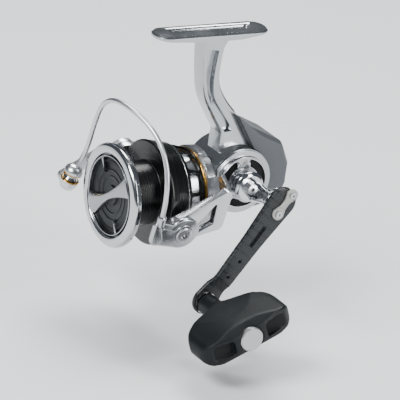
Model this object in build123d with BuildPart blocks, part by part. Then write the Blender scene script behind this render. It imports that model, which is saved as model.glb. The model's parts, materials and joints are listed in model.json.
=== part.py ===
"""Spinning reel: body with stem and foot, gear train, rotor, bail, spool, drag and folding-type handle.

The origin is the centre of the foot's flat seat, the face that lies against the rod. +Z points from the
reel to the rod, the spool faces -Y and the handle is on the +X side. Lengths are in millimetres.
"""
import os
from math import asin, atan2, cos, degrees, pi, radians, sin, sqrt

from build123d import *

# ---------------------------------------------------------------- driving dimensions
SPOOL_DROP = 83.4  # from the foot's seat down to the spool's axis
LIP_PLACE = -46.2  # the front of the spool's lip, along Y
DRIVE_PLACE = 21.6  # the handle's axis, along Y
DRIVE_LIFT = 6.7  # the handle's axis stands this far above the spool's axis

RUN = 0.05  # radial clearance of a shaft that turns or slides in a bore
SEAT = 0.02  # radial clearance of a piece that is seated in another
FACE = 0.1  # gap between flat faces that turn past each other
AIR = 0.3  # gap between pieces that move past each other in the open

# foot and stem
FOOT_LENGTH, FOOT_WIDTH, FOOT_THICK = 63.4, 15.4, 3.6
FOOT_TIP = 1.1
STEM_THICK, STEM_WEB = 10.4, 3.4

# gear case, all about the handle's axis; X places are along that axis
CASE_RADIUS, CASE_WALL = 16.7, 1.5
CASE_FAR, CASE_NEAR = -13.5, 11.8
CASE_FRONT = 52.0  # the flat front of the case, behind the lip
TAIL_NEAR = 8.0  # the near side of the box behind the gear case
NECK_RADIUS, NECK_FRONT = 13.0, 38.5

# bearings and shafts
SHAFT_RADIUS = 1.5
DRIVE_SHAFT_RADIUS = 3.0
DRIVE_BEARING_RADIUS, DRIVE_BEARING_WIDTH = 5.5, 3.0
PINION_SEAT_RADIUS, PINION_THREAD_RADIUS = 3.2, 3.0
PINION_BEARING_RADIUS, PINION_BEARING_WIDTH = 7.0, 3.2
BUSH_RADIUS, BUSH_WIDTH = 3.0, 2.6

# drive gear (a face gear) and pinion
TOOTH_MODULE = 0.66
PINION_TEETH, GEAR_TEETH = 8, 37
TOOTH_REACH, TOOTH_ROOT = 0.5, 0.7  # above and below the pitch line
TOOTH_TIP, TOOTH_BASE = 0.45, 0.92  # widths of a tooth
TOOTH_LENGTH = 1.4

# oscillation gears
STEP_MODULE = 0.75
STEP_TEETH, CRANK_TEETH = 13, 21
STEP_WIDTH = 2.0
STEP_FAR = -10.6  # their far faces, along X
STROKE = 11.0
CRANK_DROP = 3.1  # the oscillation gear's axis below the handle's axis

# roller clutch
SLEEVE_RADIUS, ROLLER_RADIUS, ROLLERS = 5.0, 0.9, 8
CLUTCH_RADIUS, CLUTCH_LENGTH = 9.5, 8.7

# rotor, about the spool's axis; B is the way the closed bail leans
PARK = -15.0  # the angle that the rotor is stored at
ROTOR_REAR = 51.0
ROTOR_FRONT = 33.0
DRUM_RADIUS, DRUM_WALL = 18.4, 2.2
RIM_RADIUS = 26.0
ARM_ROOT, ARM_THICK = 25.2, 3.4  # the arm's inner face at the rotor's rear, and its thickness
ARM_SPREAD = 19.0  # how far the arm's root reaches towards B
BOSS_RADIUS, BOSS_IN, BOSS_OUT = 7.6, 28.2, 31.9
PIVOT_PLACE = 25.0  # the bail's hinge line, behind the lip
PIVOT_RADIUS = 2.0

# bail
LEVER_THICK = 2.8
WIRE_RADIUS = 1.25
ROLLER_PLACE = (-10.0, 27.5, -30.0)  # the line roller's centre: B, forward of the hinge line, and outward
ROLLER_TILT = 80.0  # the line roller's axis, from straight ahead towards -B
LINE_ROLLER_RADIUS, LINE_ROLLER_WIDTH = 3.6, 3.4
DOME_RADIUS = 4.8
BAIL_OPENS = 85.0

# spool
LIP_RADIUS, LIP_BORE = 26.0, 20.5
LIP_HOLES = 16
ARBOR_RADIUS, ARBOR_REAR = 16.0, 21.3
FLANGE_RADIUS, SKIRT_REAR = 26.1, 43.4
BAND_REAR, BAND_RADIUS = 32.4, 24.0
DRAG_BORE, DRAG_FLOOR = 12.6, 15.0
WASHER_THICK = 0.85
PORTS, PORT_POST = 12, 1.8  # the skirt's ports, and the post between two

# drag knob
KNOB_GAP = 0.5  # between the knob and the lip's bore
DRAG_BAR_ANGLE = 33.0

# handle
ARM_PLANE, ARM_PLATE = 49.5, 3.0  # the crank's inner face along X, and its thickness
CRANK_LENGTH, CRANK_ANGLE = 57.7, 234.5
CRANK_SIDE = -3.0  # the crank lies this far to one side of the handle's axis
HEAD_BEYOND = 3.5  # the crank's head is centred this far past the handle's axis
JOG = 1.5  # the crank's lower end lies this much nearer the body
KNOB_LENGTH, KNOB_SPAN = 45.0, 51.0
KNOB_TURN = 23.6  # the way the grip's bar lies, from +Y towards +Z
KNOB_SPINDLE_RADIUS = 2.0
KNOB_BEARING_RADIUS, KNOB_BEARING_WIDTH = 4.0, 2.5
CLAMP_SPOTS, CLAMP_SIDE = (-9.2, 2.3), 1.0  # the two clamp screws along the crank, and their shift
HANDLE_SCREW_RADIUS = 1.25

os.makedirs("parts", exist_ok=True)

KNOB_RADIUS = LIP_BORE - KNOB_GAP

# ---------------------------------------------------------------- planes and axes
axis_z = -SPOOL_DROP
drive_z = axis_z + DRIVE_LIFT
spool_side = Plane(origin=(0, LIP_PLACE, axis_z), x_dir=(0, 1, 0), z_dir=(1, 0, 0))
spool_plane = Plane(origin=(0, LIP_PLACE, axis_z), x_dir=(1, 0, 0), z_dir=(0, 1, 0))
spool_axis = Axis((0, LIP_PLACE, axis_z), (0, 1, 0))
drive_side = Plane(origin=(0, DRIVE_PLACE, drive_z), x_dir=(1, 0, 0), z_dir=(0, -1, 0))
drive_plane = Plane(origin=(0, DRIVE_PLACE, drive_z), x_dir=(0, 1, 0), z_dir=(1, 0, 0))
drive_axis = Axis((0, DRIVE_PLACE, drive_z), (1, 0, 0))
rotor_plane = Plane(
    origin=(0, LIP_PLACE + ROTOR_REAR, axis_z),
    x_dir=(cos(radians(PARK)), 0, sin(radians(PARK))),
    z_dir=(0, -1, 0),
)
out_way, lean_way, front_way = rotor_plane.x_dir, rotor_plane.y_dir, rotor_plane.z_dir
pivot_ahead = ROTOR_REAR - PIVOT_PLACE
bail_plane = Plane(
    origin=rotor_plane.from_local_coords((0, 0, pivot_ahead)), x_dir=lean_way, z_dir=out_way
)

finished = []


# ---------------------------------------------------------------- helpers
def keep(builder, name):
    """Label a finished piece, write its file and list it."""
    builder.part.label = name
    export_step(builder.part, f"parts/{name}.step")
    finished.append(name)


def outline(plane, points):
    """A closed outline on a plane, as a face."""
    with BuildSketch(plane) as drawn:
        with BuildLine():
            Polyline(*points, close=True)
        make_face()
    return drawn.sketch


def turned(points, plane=spool_side, axis=spool_axis, mode=Mode.ADD):
    """Turn an outline of (along, radius) points about its axis."""
    revolve(outline(plane, points), axis=axis, mode=mode)


def ring(plane, start, end, outer, inner=0.0, mode=Mode.ADD):
    """A disc, or a ring where inner is given, between two places along a plane's normal."""
    with BuildSketch(plane.offset(start)) as drawn:
        Circle(outer)
        if inner:
            Circle(inner, mode=Mode.SUBTRACT)
    extrude(drawn.sketch, amount=end - start, mode=mode)


def hull(plane, start, end, circles, mode=Mode.ADD):
    """The hull of circles, each (x, y, radius), between two places along a plane's normal."""
    with BuildSketch(plane.offset(start)) as drawn:
        for x, y, radius in circles:
            with Locations((x, y)):
                Circle(radius)
        make_hull()
    extrude(drawn.sketch, amount=end - start, mode=mode)


def screw(plane, seat, head_radius, head, shank_radius, shank, socket=0.0):
    """A screw: its head stands out from seat along the normal and its shank goes the other way."""
    ring(plane, seat - shank, seat + head, shank_radius)
    ring(plane, seat, seat + head, head_radius)
    if socket:
        with BuildSketch(plane.offset(seat + head)) as drawn:
            RegularPolygon(socket, 6)
        extrude(drawn.sketch, amount=-0.6 * head, mode=Mode.SUBTRACT)


def gear_outline(teeth, module, reach, root, tip, base):
    """The outline of a straight-toothed gear with trapezium teeth, centred on the origin."""
    pitch_radius = teeth * module / 2
    corners = []
    for n in range(teeth):
        middle = 2 * pi * n / teeth
        for radius, width, side in (
            (pitch_radius - root, base, -1),
            (pitch_radius + reach, tip, -1),
            (pitch_radius + reach, tip, 1),
            (pitch_radius - root, base, 1),
        ):
            turn = middle + side * asin(width / 2 / radius)
            corners.append((radius * cos(turn), radius * sin(turn)))
    return corners


# ---------------------------------------------------------------- body: foot, stem, gear case, neck
half_foot = FOOT_LENGTH / 2


def by_drive(points):
    """Places in the middle plane, given from the handle's axis."""
    return [(DRIVE_PLACE + y, drive_z + z) for y, z in points]


case_front_y = LIP_PLACE + CASE_FRONT
tail_outline = by_drive([
    (0, 11.1), (11.4, 10.3), (19.4, 7.7), (23.8, 2.7), (23.8, -7.3),
    (22.2, -12.2), (12.4, -13.9), (0, -14.9),
])
tail_inner = by_drive([
    (0, 9.6), (11.1, 8.8), (18.6, 6.4), (22.3, 2.2), (22.3, -7),
    (21.1, -11.1), (12.2, -12.5), (0, -13.4),
])
tail_rear = max(y for y, z in tail_outline)
stem_front = [(-5.3, -3.4), (-5.0, -9.0), (-3.3, -23.4), (-1.1, -33.1)] + by_drive(
    [(-16.2, 31.5), (-10.4, 22.7)]
)
stem_rear = [(12.0, -3.2), (7.4, -7.4), (6.3, -15.4), (6.6, -25.8), (9.9, -32.9)] + by_drive([(-5.0, 35.7)])
stem_foot = by_drive([(-10.4, 10.7), (9.0, 10.7), (7.0, 15.2)])
pocket_low = by_drive([(-14.8, 33.1), (-8.6, 23.7), (-4.4, 24.1), (-12.0, 35.1)])
gear_middle = Plane(origin=(0, 0, 0), x_dir=(0, 1, 0), z_dir=(1, 0, 0))
gear_pitch_radius = GEAR_TEETH * TOOTH_MODULE / 2
pinion_pitch_radius = PINION_TEETH * TOOTH_MODULE / 2
mesh_place = DRIVE_PLACE - LIP_PLACE - gear_pitch_radius  # behind the lip
bush_front = mesh_place + TOOTH_LENGTH / 2 + 3.4
rod_x, rod_z = -6.2, axis_z - 1.2
ROD_RADIUS = 0.8
lug_angles = (95.0, 215.0, 335.0)
LUG_PLACE = 10.8
LUG_IN, LUG_OUT = CASE_NEAR - 4.4, CASE_NEAR - 2.2
cover_screw_radius = 0.9

with BuildPart() as foot_block:
    side = [
        (-half_foot, 0), (half_foot, 0), (half_foot, -FOOT_TIP), (14.0, -FOOT_THICK),
        (-9.0, -FOOT_THICK), (-half_foot, -FOOT_TIP - 0.9),
    ]
    extrude(outline(gear_middle, side), amount=FOOT_WIDTH / 2, both=True)
    with BuildSketch(Plane.XY):
        RectangleRounded(FOOT_WIDTH, FOOT_LENGTH, FOOT_WIDTH / 2 - 0.6)
    extrude(amount=-2 * FOOT_THICK, mode=Mode.INTERSECT)
    top = foot_block.faces().sort_by(Axis.Z)[-1]
    chamfer(top.edges(), 0.9)

with BuildPart() as stem_block:
    with BuildSketch(gear_middle):
        with BuildLine():
            Spline(*stem_front)
            Polyline(stem_front[-1], *stem_foot, stem_rear[-1])
            Spline(*reversed(stem_rear))
            Line(stem_rear[0], stem_front[0])
        make_face()
    extrude(amount=STEM_THICK / 2, both=True)
    long_edges = stem_block.edges().filter_by(GeomType.BSPLINE)
    fillet(long_edges, 1.3)
    # a long hollow along each side leaves a web at the middle and a rim at the rear
    for side_way in (1, -1):
        with BuildSketch(gear_middle.offset(side_way * STEM_WEB / 2)):
            with BuildLine():
                Spline((-3.4, -8.5), (-1.8, -23.2), (0.5, -32.4), pocket_low[0], pocket_low[1])
                Line(pocket_low[1], pocket_low[2])
                Spline(pocket_low[2], pocket_low[3], (4.4, -33.6), (2.8, -25.0), (3.2, -14.0), (3.6, -9.5))
                Line((3.6, -9.5), (-3.4, -8.5))
            make_face()
        extrude(amount=side_way * STEM_THICK, mode=Mode.SUBTRACT)

with BuildPart() as case_hollow:
    ring(drive_plane, CASE_FAR + CASE_WALL, CASE_NEAR + 1, CASE_RADIUS - CASE_WALL)
    with BuildSketch(Plane.XZ.offset(-case_front_y)):
        with Locations((0, drive_z)):
            Rectangle(4 * CASE_RADIUS, 4 * CASE_RADIUS)
    extrude(amount=-1.0, mode=Mode.SUBTRACT)
    tail_room = TAIL_NEAR - CASE_WALL - CASE_FAR - CASE_WALL
    extrude(outline(gear_middle.offset(CASE_FAR + CASE_WALL), tail_inner), amount=tail_room)

with BuildPart() as body_housing:
    ring(drive_plane, CASE_FAR, CASE_NEAR, CASE_RADIUS)
    extrude(outline(gear_middle.offset(CASE_FAR), tail_outline), amount=TAIL_NEAR - CASE_FAR)
    split(bisect_by=Plane.XZ.offset(-case_front_y), keep=Keep.BOTTOM)
    ring(drive_plane, CASE_FAR - 2.0, CASE_FAR + 0.5, DRIVE_BEARING_RADIUS + 1.6)
    add(stem_block.part)
    add(case_hollow.part, mode=Mode.SUBTRACT)
    add(foot_block.part)
    ring(spool_plane, NECK_FRONT, CASE_FRONT + 0.5, NECK_RADIUS)
    # the block that carries the pinion's rear bush and the guide rod's front end
    with BuildSketch(spool_plane.offset(bush_front)):
        Circle(BUSH_RADIUS + 0.9)
        with Locations((-3.4, 3.0)):
            Rectangle(9.8, 11.0)
    extrude(amount=BUSH_WIDTH)
    # lugs that take the side cover's screws
    with BuildSketch(drive_plane.offset(LUG_IN)):
        with Locations(*[Location((0, 0), angle) for angle in lug_angles]):
            with Locations((LUG_PLACE + 1.9, 0)):
                Rectangle(7.4, 4.4)
    extrude(amount=LUG_OUT - LUG_IN)
    # bores along the spool's axis: clutch, front bearing, rear bush, main shaft
    clutch_rear = NECK_FRONT + CLUTCH_LENGTH + 0.2
    bearing_rear = clutch_rear + PINION_BEARING_WIDTH + 0.3
    ring(spool_plane, NECK_FRONT - 1, clutch_rear, CLUTCH_RADIUS + SEAT, mode=Mode.SUBTRACT)
    ring(spool_plane, clutch_rear, bearing_rear, PINION_BEARING_RADIUS + SEAT, mode=Mode.SUBTRACT)
    ring(spool_plane, bearing_rear, CASE_FRONT + 5, PINION_SEAT_RADIUS + 1.4, mode=Mode.SUBTRACT)
    ring(spool_plane, bush_front, bush_front + BUSH_WIDTH, BUSH_RADIUS + SEAT, mode=Mode.SUBTRACT)
    # pocket for the far drive bearing and the cap's thread
    ring(drive_plane, CASE_FAR - 1.0, CASE_FAR + 4, DRIVE_BEARING_RADIUS + SEAT, mode=Mode.SUBTRACT)
    ring(drive_plane, CASE_FAR - 3, CASE_FAR, 4.4, mode=Mode.SUBTRACT)
    # the guide rod's two seats
    with BuildSketch(Plane.XZ.offset(-(LIP_PLACE + bush_front + 0.6))):
        with Locations((rod_x, rod_z)):
            Circle(ROD_RADIUS + SEAT)
    extrude(amount=-(tail_rear - 0.5 - (LIP_PLACE + bush_front + 0.6)), mode=Mode.SUBTRACT)
    # threaded holes: cover screws, clutch retainer screws, guard screws
    with BuildSketch(drive_plane.offset(LUG_IN)):
        with PolarLocations(LUG_PLACE, 3, start_angle=lug_angles[0]):
            Circle(cover_screw_radius + SEAT)
    extrude(amount=LUG_OUT - LUG_IN, mode=Mode.SUBTRACT)
    with BuildSketch(spool_plane.offset(NECK_FRONT)):
        with PolarLocations(11.3, 3, start_angle=30):
            Circle(0.7 + SEAT)
    extrude(amount=5.0, mode=Mode.SUBTRACT)
keep(body_housing, "body_housing")


# ---------------------------------------------------------------- body: covers and their screws
COVER_FLANGE, COVER_FACE = 1.4, 3.2  # how far the flange and the raised face stand out of the case
COVER_DISC = 13.7
COVER_POCKET = 1.4
cover_face = CASE_NEAR + COVER_FACE
cover_flange = CASE_NEAR + COVER_FLANGE
bearing_in = CASE_NEAR - 2.7  # the near drive bearing's inner face
HUB_RADIUS = 7.5
SPIGOT = 2.0
with BuildPart() as side_cover:
    ring(drive_plane, CASE_NEAR, cover_flange, CASE_RADIUS - 0.3)
    split(bisect_by=Plane.XZ.offset(-case_front_y - 0.2), keep=Keep.BOTTOM)
    ring(drive_plane, CASE_NEAR - SPIGOT, CASE_NEAR, CASE_RADIUS - CASE_WALL - RUN, 12.9)
    with BuildSketch(Plane.XZ.offset(-case_front_y - 1.0)):
        with Locations((0, drive_z)):
            Rectangle(4 * CASE_RADIUS, 4 * CASE_RADIUS)
    extrude(amount=2.0, mode=Mode.SUBTRACT)
    ring(drive_plane, cover_flange, cover_face, COVER_DISC)
    ring(drive_plane, bearing_in - 0.4, CASE_NEAR, HUB_RADIUS)
    # three sunk windows between the lobes
    with BuildSketch(drive_plane.offset(cover_face)):
        Circle(COVER_DISC - 1.1)
        Circle(HUB_RADIUS + 1.3, mode=Mode.SUBTRACT)
        for angle in lug_angles:
            with Locations(Location((0, 0), angle)):
                with Locations((LUG_PLACE, 0)):
                    Rectangle(7.0, 7.2, mode=Mode.SUBTRACT)
    extrude(amount=-COVER_POCKET, mode=Mode.SUBTRACT)
    # a groove round the hub, the bearing's pocket and the shaft's hole
    ring(drive_plane, cover_face - 0.8, cover_face, HUB_RADIUS + 0.5, HUB_RADIUS - 0.4, mode=Mode.SUBTRACT)
    ring(
        drive_plane, bearing_in - 1, bearing_in + DRIVE_BEARING_WIDTH,
        DRIVE_BEARING_RADIUS + SEAT, mode=Mode.SUBTRACT,
    )
    ring(drive_plane, CASE_NEAR, cover_face + 1, DRIVE_SHAFT_RADIUS + 0.6, mode=Mode.SUBTRACT)
    with BuildSketch(drive_plane.offset(CASE_NEAR - SPIGOT)):
        with PolarLocations(LUG_PLACE, 3, start_angle=lug_angles[0]):
            Circle(cover_screw_radius + 0.1)
    extrude(amount=3 * SPIGOT, mode=Mode.SUBTRACT)
    with BuildSketch(drive_plane.offset(cover_face)):
        with PolarLocations(LUG_PLACE, 3, start_angle=lug_angles[0]):
            Circle(1.6)
    extrude(amount=-1.2, mode=Mode.SUBTRACT)
keep(side_cover, "side_cover")

with BuildPart() as side_cover_screws:
    for angle in lug_angles:
        turn = radians(angle)
        place = drive_plane.from_local_coords((LUG_PLACE * cos(turn), LUG_PLACE * sin(turn), 0))
        seat_plane = Plane(origin=place, x_dir=(0, 1, 0), z_dir=(1, 0, 0))
        screw(seat_plane, cover_face - 1.2, 1.5, 0.9, cover_screw_radius, 5.6, socket=0.8)
keep(side_cover_screws, "side_cover_screws")

with BuildPart() as cover_seal:
    seal_in = CASE_NEAR - SPIGOT - 0.9
    ring(drive_plane, seal_in, seal_in + 0.8, CASE_RADIUS - CASE_WALL - SEAT, 14.2)
    with BuildSketch(drive_plane.offset(seal_in - 0.1)):
        with Locations(*[Location((0, 0), angle) for angle in lug_angles]):
            with Locations((LUG_PLACE + 3.0, 0)):
                Rectangle(6.0, 5.2)
    extrude(amount=1.0, mode=Mode.SUBTRACT)
    with BuildSketch(Plane.XZ.offset(-case_front_y - 1.0 - SEAT)):
        with Locations((0, drive_z)):
            Rectangle(4 * CASE_RADIUS, 4 * CASE_RADIUS)
    extrude(amount=3.0, mode=Mode.SUBTRACT)
keep(cover_seal, "cover_seal")

GUARD_FAR, GUARD_NEAR = -15.2, 10.2
GUARD_GAP = 0.15
guard_outline = by_drive([
    (-4.3, 33.3), (4.4, 26.8), (22.9, 18.1), (24.5, 15.6), (28.9, 6.1), (28.9, -4.6),
    (27, -9.9), (23.6, -13.9), (11.4, -16.2), (0, -17.3), (0, 6.7), (7.6, 14.8),
])
guard_inner = by_drive([
    (-1, 11.3), (11.5, 10.5), (19.6, 7.9), (24, 2.8), (24, -7.4),
    (22.4, -12.4), (12.5, -14.1), (-1, -15.1),
])
with BuildPart() as rear_guard:
    extrude(outline(gear_middle.offset(GUARD_FAR), guard_outline), amount=GUARD_NEAR - GUARD_FAR)
    near_face = rear_guard.faces().sort_by(Axis.X)[-1]
    far_face = rear_guard.faces().sort_by(Axis.X)[0]
    chamfer(near_face.edges().filter_by(lambda e: e.center().Y > DRIVE_PLACE + 8), 1.6)
    chamfer(far_face.edges().filter_by(lambda e: e.center().Y > DRIVE_PLACE + 8), 1.6)
    room = TAIL_NEAR + GUARD_GAP - (CASE_FAR - GUARD_GAP)
    extrude(
        outline(gear_middle.offset(CASE_FAR - GUARD_GAP), guard_inner), amount=room, mode=Mode.SUBTRACT
    )
    ring(drive_plane, GUARD_FAR - 1, GUARD_NEAR + 1, CASE_RADIUS + AIR, mode=Mode.SUBTRACT)
    # a clear way for the foot of the stem, and two screw holes in the rear face
    with BuildSketch(gear_middle):
        with BuildLine():
            Polyline(
                *by_drive([(-11.6, 36.7), (-4.8, 35.8), (7.2, 15.3), (9.2, 10.4), (-11.6, 10.4)]),
                close=True,
            )
        make_face()
    extrude(amount=STEM_THICK / 2 + GUARD_GAP, both=True, mode=Mode.SUBTRACT)
keep(rear_guard, "rear_guard")

with BuildPart() as shaft_cap:
    ring(drive_plane, CASE_FAR - 4.0, CASE_FAR - 2.0 - SEAT, DRIVE_BEARING_RADIUS + 1.4)
    ring(drive_plane, CASE_FAR - 2.5, CASE_FAR - 0.4, 4.4 - SEAT)
    top_edges = shaft_cap.faces().sort_by(Axis.X)[0].edges()
    chamfer(top_edges, 0.5)
    with BuildSketch(drive_plane.offset(CASE_FAR - 4.0)):
        Rectangle(9.0, 1.4)
    extrude(amount=0.9, mode=Mode.SUBTRACT)
keep(shaft_cap, "shaft_cap")

# ---------------------------------------------------------------- body: bearings, bush, clutch, guide rod
bearing_far = CASE_FAR - 0.4
with BuildPart() as drive_bearings:
    for start in (bearing_far, bearing_in):
        ring(
            drive_plane, start, start + DRIVE_BEARING_WIDTH,
            DRIVE_BEARING_RADIUS, DRIVE_SHAFT_RADIUS + RUN,
        )
        for face, way in ((start, 1), (start + DRIVE_BEARING_WIDTH, -1)):
            ring(
                drive_plane, face, face + way * 0.3,
                DRIVE_BEARING_RADIUS - 0.8, DRIVE_SHAFT_RADIUS + 0.8, mode=Mode.SUBTRACT,
            )
keep(drive_bearings, "drive_bearings")

with BuildPart() as pinion_bearing:
    pinion_bearing_end = clutch_rear + PINION_BEARING_WIDTH
    ring(spool_plane, clutch_rear, pinion_bearing_end, PINION_BEARING_RADIUS, PINION_SEAT_RADIUS + RUN)
    for face, way in ((clutch_rear, 1), (pinion_bearing_end, -1)):
        ring(
            spool_plane, face, face + way * 0.3,
            PINION_BEARING_RADIUS - 1.0, PINION_SEAT_RADIUS + 1.0, mode=Mode.SUBTRACT,
        )
keep(pinion_bearing, "pinion_bearing")

journal_radius = pinion_pitch_radius - TOOTH_ROOT
with BuildPart() as pinion_bush:
    ring(spool_plane, bush_front, bush_front + BUSH_WIDTH, BUSH_RADIUS, journal_radius + RUN)
keep(pinion_bush, "pinion_bush")

roller_circle = SLEEVE_RADIUS + RUN + ROLLER_RADIUS
race_radius = roller_circle + ROLLER_RADIUS + RUN
with BuildPart() as clutch_housing:
    ring(spool_plane, NECK_FRONT, NECK_FRONT + CLUTCH_LENGTH, CLUTCH_RADIUS, race_radius)
keep(clutch_housing, "clutch_housing")

with BuildPart() as clutch_rollers:
    with BuildSketch(spool_plane.offset(NECK_FRONT + 1.0)):
        with PolarLocations(roller_circle, ROLLERS):
            Circle(ROLLER_RADIUS)
    extrude(amount=CLUTCH_LENGTH - 2.0)
keep(clutch_rollers, "clutch_rollers")

with BuildPart() as clutch_retainer:
    ring(spool_plane, NECK_FRONT - 0.9, NECK_FRONT, NECK_RADIUS - 0.4, SLEEVE_RADIUS + 0.6)
    with BuildSketch(spool_plane.offset(NECK_FRONT)):
        with PolarLocations(11.3, 3, start_angle=30):
            Circle(0.7 + SEAT)
    extrude(amount=-1.0, mode=Mode.SUBTRACT)
keep(clutch_retainer, "clutch_retainer")

with BuildPart() as retainer_screws:
    for angle in (30, 150, 270):
        turn = radians(angle)
        place = spool_plane.from_local_coords((11.3 * cos(turn), 11.3 * sin(turn), 0))
        seat_plane = Plane(origin=place, x_dir=(1, 0, 0), z_dir=(0, -1, 0))
        screw(seat_plane, 0.9 - NECK_FRONT, 1.2, 0.7, 0.7, 5.2, socket=0.6)
keep(retainer_screws, "retainer_screws")

with BuildPart() as guide_rod:
    rod_start = LIP_PLACE + bush_front + 0.6
    with BuildSketch(Plane.XZ.offset(-rod_start)):
        with Locations((rod_x, rod_z)):
            Circle(ROD_RADIUS)
    extrude(amount=-(tail_rear - 0.6 - rod_start))
keep(guide_rod, "guide_rod")

# ---------------------------------------------------------------- drive: gear, shaft, oscillation gear
gear_base = pinion_pitch_radius + TOOTH_REACH + 0.25  # the face that the gear's teeth stand on
gear_tip = pinion_pitch_radius - TOOTH_REACH
gear_rim = sqrt((gear_pitch_radius + TOOTH_LENGTH / 2) ** 2 + DRIVE_LIFT**2)
gear_rim_in = sqrt((gear_pitch_radius - TOOTH_LENGTH / 2) ** 2 + DRIVE_LIFT**2) - 0.4
GEAR_PLATE, GEAR_BACK = 4.4, 6.0
with BuildPart() as drive_gear:
    ring(drive_plane, GEAR_PLATE, GEAR_BACK, gear_rim, DRIVE_SHAFT_RADIUS + SEAT)
    ring(drive_plane, gear_base, GEAR_PLATE, gear_rim, gear_rim_in)
    # one tooth is a straight ridge that lies along the pinion where the two gears meet
    ridge = Plane(origin=drive_plane.origin, x_dir=(1, 0, 0), z_dir=(0, -1, 0))
    half_tip, half_base = TOOTH_TIP / 2, TOOTH_BASE / 2
    with BuildPart(mode=Mode.PRIVATE) as tooth:
        tooth_face = outline(
            ridge.offset(gear_pitch_radius - TOOTH_LENGTH / 2),
            [
                (gear_tip, -DRIVE_LIFT - half_tip), (gear_tip, -DRIVE_LIFT + half_tip),
                (gear_base + 0.1, -DRIVE_LIFT + half_base), (gear_base + 0.1, -DRIVE_LIFT - half_base),
            ],
        )
        extrude(tooth_face, amount=TOOTH_LENGTH)
    for n in range(GEAR_TEETH):
        add(tooth.part.rotate(drive_axis, 360 * n / GEAR_TEETH))
    ring(drive_plane, gear_tip - 1, GEAR_BACK + 1, gear_rim + 3, gear_rim, mode=Mode.SUBTRACT)
    with BuildSketch(drive_plane.offset(GEAR_PLATE - 0.1)):
        with PolarLocations(8.3, 6):
            Circle(2.2)
    extrude(amount=GEAR_BACK, mode=Mode.SUBTRACT)
keep(drive_gear, "drive_gear")

step_radius = STEP_TEETH * STEP_MODULE / 2
crank_gear_radius = CRANK_TEETH * STEP_MODULE / 2
centre_distance = step_radius + crank_gear_radius
crank_ahead = sqrt(centre_distance**2 - CRANK_DROP**2)
shaft_end_far = bearing_far + 0.3
shaft_end_near = cover_face + 5.6
with BuildPart() as drive_shaft:
    ring(drive_plane, shaft_end_far, shaft_end_near, DRIVE_SHAFT_RADIUS)
    ring(drive_plane, GEAR_BACK + SEAT, bearing_in - FACE, DRIVE_SHAFT_RADIUS + 1.4)
    step_turn = degrees(atan2(-CRANK_DROP, crank_ahead))
    small_gear = outline(
        drive_plane.offset(STEP_FAR),
        gear_outline(STEP_TEETH, STEP_MODULE, 0.55, 0.75, 0.5, 1.0),
    )
    extrude(small_gear.rotate(drive_axis, step_turn), amount=STEP_WIDTH)
    ring(drive_plane, STEP_FAR - 1, shaft_end_near + 1, 1.25, mode=Mode.SUBTRACT)
keep(drive_shaft, "drive_shaft")

crank_plane = Plane(
    origin=drive_plane.from_local_coords((crank_ahead, -CRANK_DROP, 0)), x_dir=(0, 1, 0), z_dir=(1, 0, 0)
)
crank_axis = Axis(crank_plane.origin, (1, 0, 0))
AXLE_RADIUS = 1.6
with BuildPart() as oscillation_axle:
    ring(crank_plane, CASE_FAR + CASE_WALL, STEP_FAR + STEP_WIDTH + 0.2, AXLE_RADIUS)
keep(oscillation_axle, "oscillation_axle")

crank_throw = STROKE / 2
with BuildPart() as oscillation_gear:
    big_gear = outline(
        crank_plane.offset(STEP_FAR),
        gear_outline(CRANK_TEETH, STEP_MODULE, 0.55, 0.75, 0.5, 1.0),
    )
    # half a tooth from in line, so that a gap meets the small gear's tooth
    extrude(big_gear.rotate(crank_axis, step_turn + 180 + 180 / CRANK_TEETH), amount=STEP_WIDTH)
    ring(crank_plane, STEP_FAR - 1, STEP_FAR + STEP_WIDTH + 1, AXLE_RADIUS + RUN, mode=Mode.SUBTRACT)
    # the crank pin stands at the rear of its circle, where it holds the slider fully back
    with BuildSketch(crank_plane.offset(STEP_FAR + STEP_WIDTH)):
        with Locations((crank_throw, 0)):
            Circle(0.9)
    extrude(amount=0.3)
keep(oscillation_gear, "oscillation_gear")

# ---------------------------------------------------------------- main shaft and slider
slider_back = crank_plane.origin.Y + crank_throw  # the slider's middle, fully back
SLIDER_HALF = 2.4
shaft_rear = slider_back + SLIDER_HALF - LIP_PLACE
BEARING_PLACE, SPOOL_BEARING_WIDTH, SPOOL_BEARING_RADIUS = 16.5, 2.5, 4.0
with BuildPart() as main_shaft:
    ring(spool_plane, 3.6, shaft_rear, SHAFT_RADIUS)
    shoulder = BEARING_PLACE + SPOOL_BEARING_WIDTH + FACE
    ring(spool_plane, shoulder, shoulder + 3.6, SHAFT_RADIUS + 0.6)
keep(main_shaft, "main_shaft")

slider_reach = crank_throw + 0.9 + 0.3
slider_far = STEP_FAR + STEP_WIDTH + 0.6
with BuildPart() as slider:
    slot_z = crank_plane.origin.Z
    low, high = slot_z - slider_reach - 0.8, slot_z + slider_reach + 0.8
    block = [
        (slider_far, low), (slider_far, high), (slider_far + 2.2, high),
        (slider_far + 2.2, axis_z + 2.6), (1.9, axis_z + 2.6), (1.9, axis_z - 2.6), (0.0, low),
    ]
    extrude(outline(Plane.XZ.offset(-(slider_back - SLIDER_HALF)), block), amount=-2 * SLIDER_HALF)
    with BuildSketch(gear_middle.offset(slider_far)):
        with Locations((slider_back, slot_z)):
            SlotOverall(2 * slider_reach, 2.4, rotation=90)
    extrude(amount=1.0, mode=Mode.SUBTRACT)
    ring(spool_plane, 60, shaft_rear + 1, SHAFT_RADIUS + SEAT, mode=Mode.SUBTRACT)
    with BuildSketch(Plane.XZ.offset(-(slider_back - SLIDER_HALF))):
        with Locations((rod_x, rod_z)):
            Circle(ROD_RADIUS + RUN)
    extrude(amount=-2 * SLIDER_HALF, mode=Mode.SUBTRACT)
keep(slider, "slider")

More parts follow.
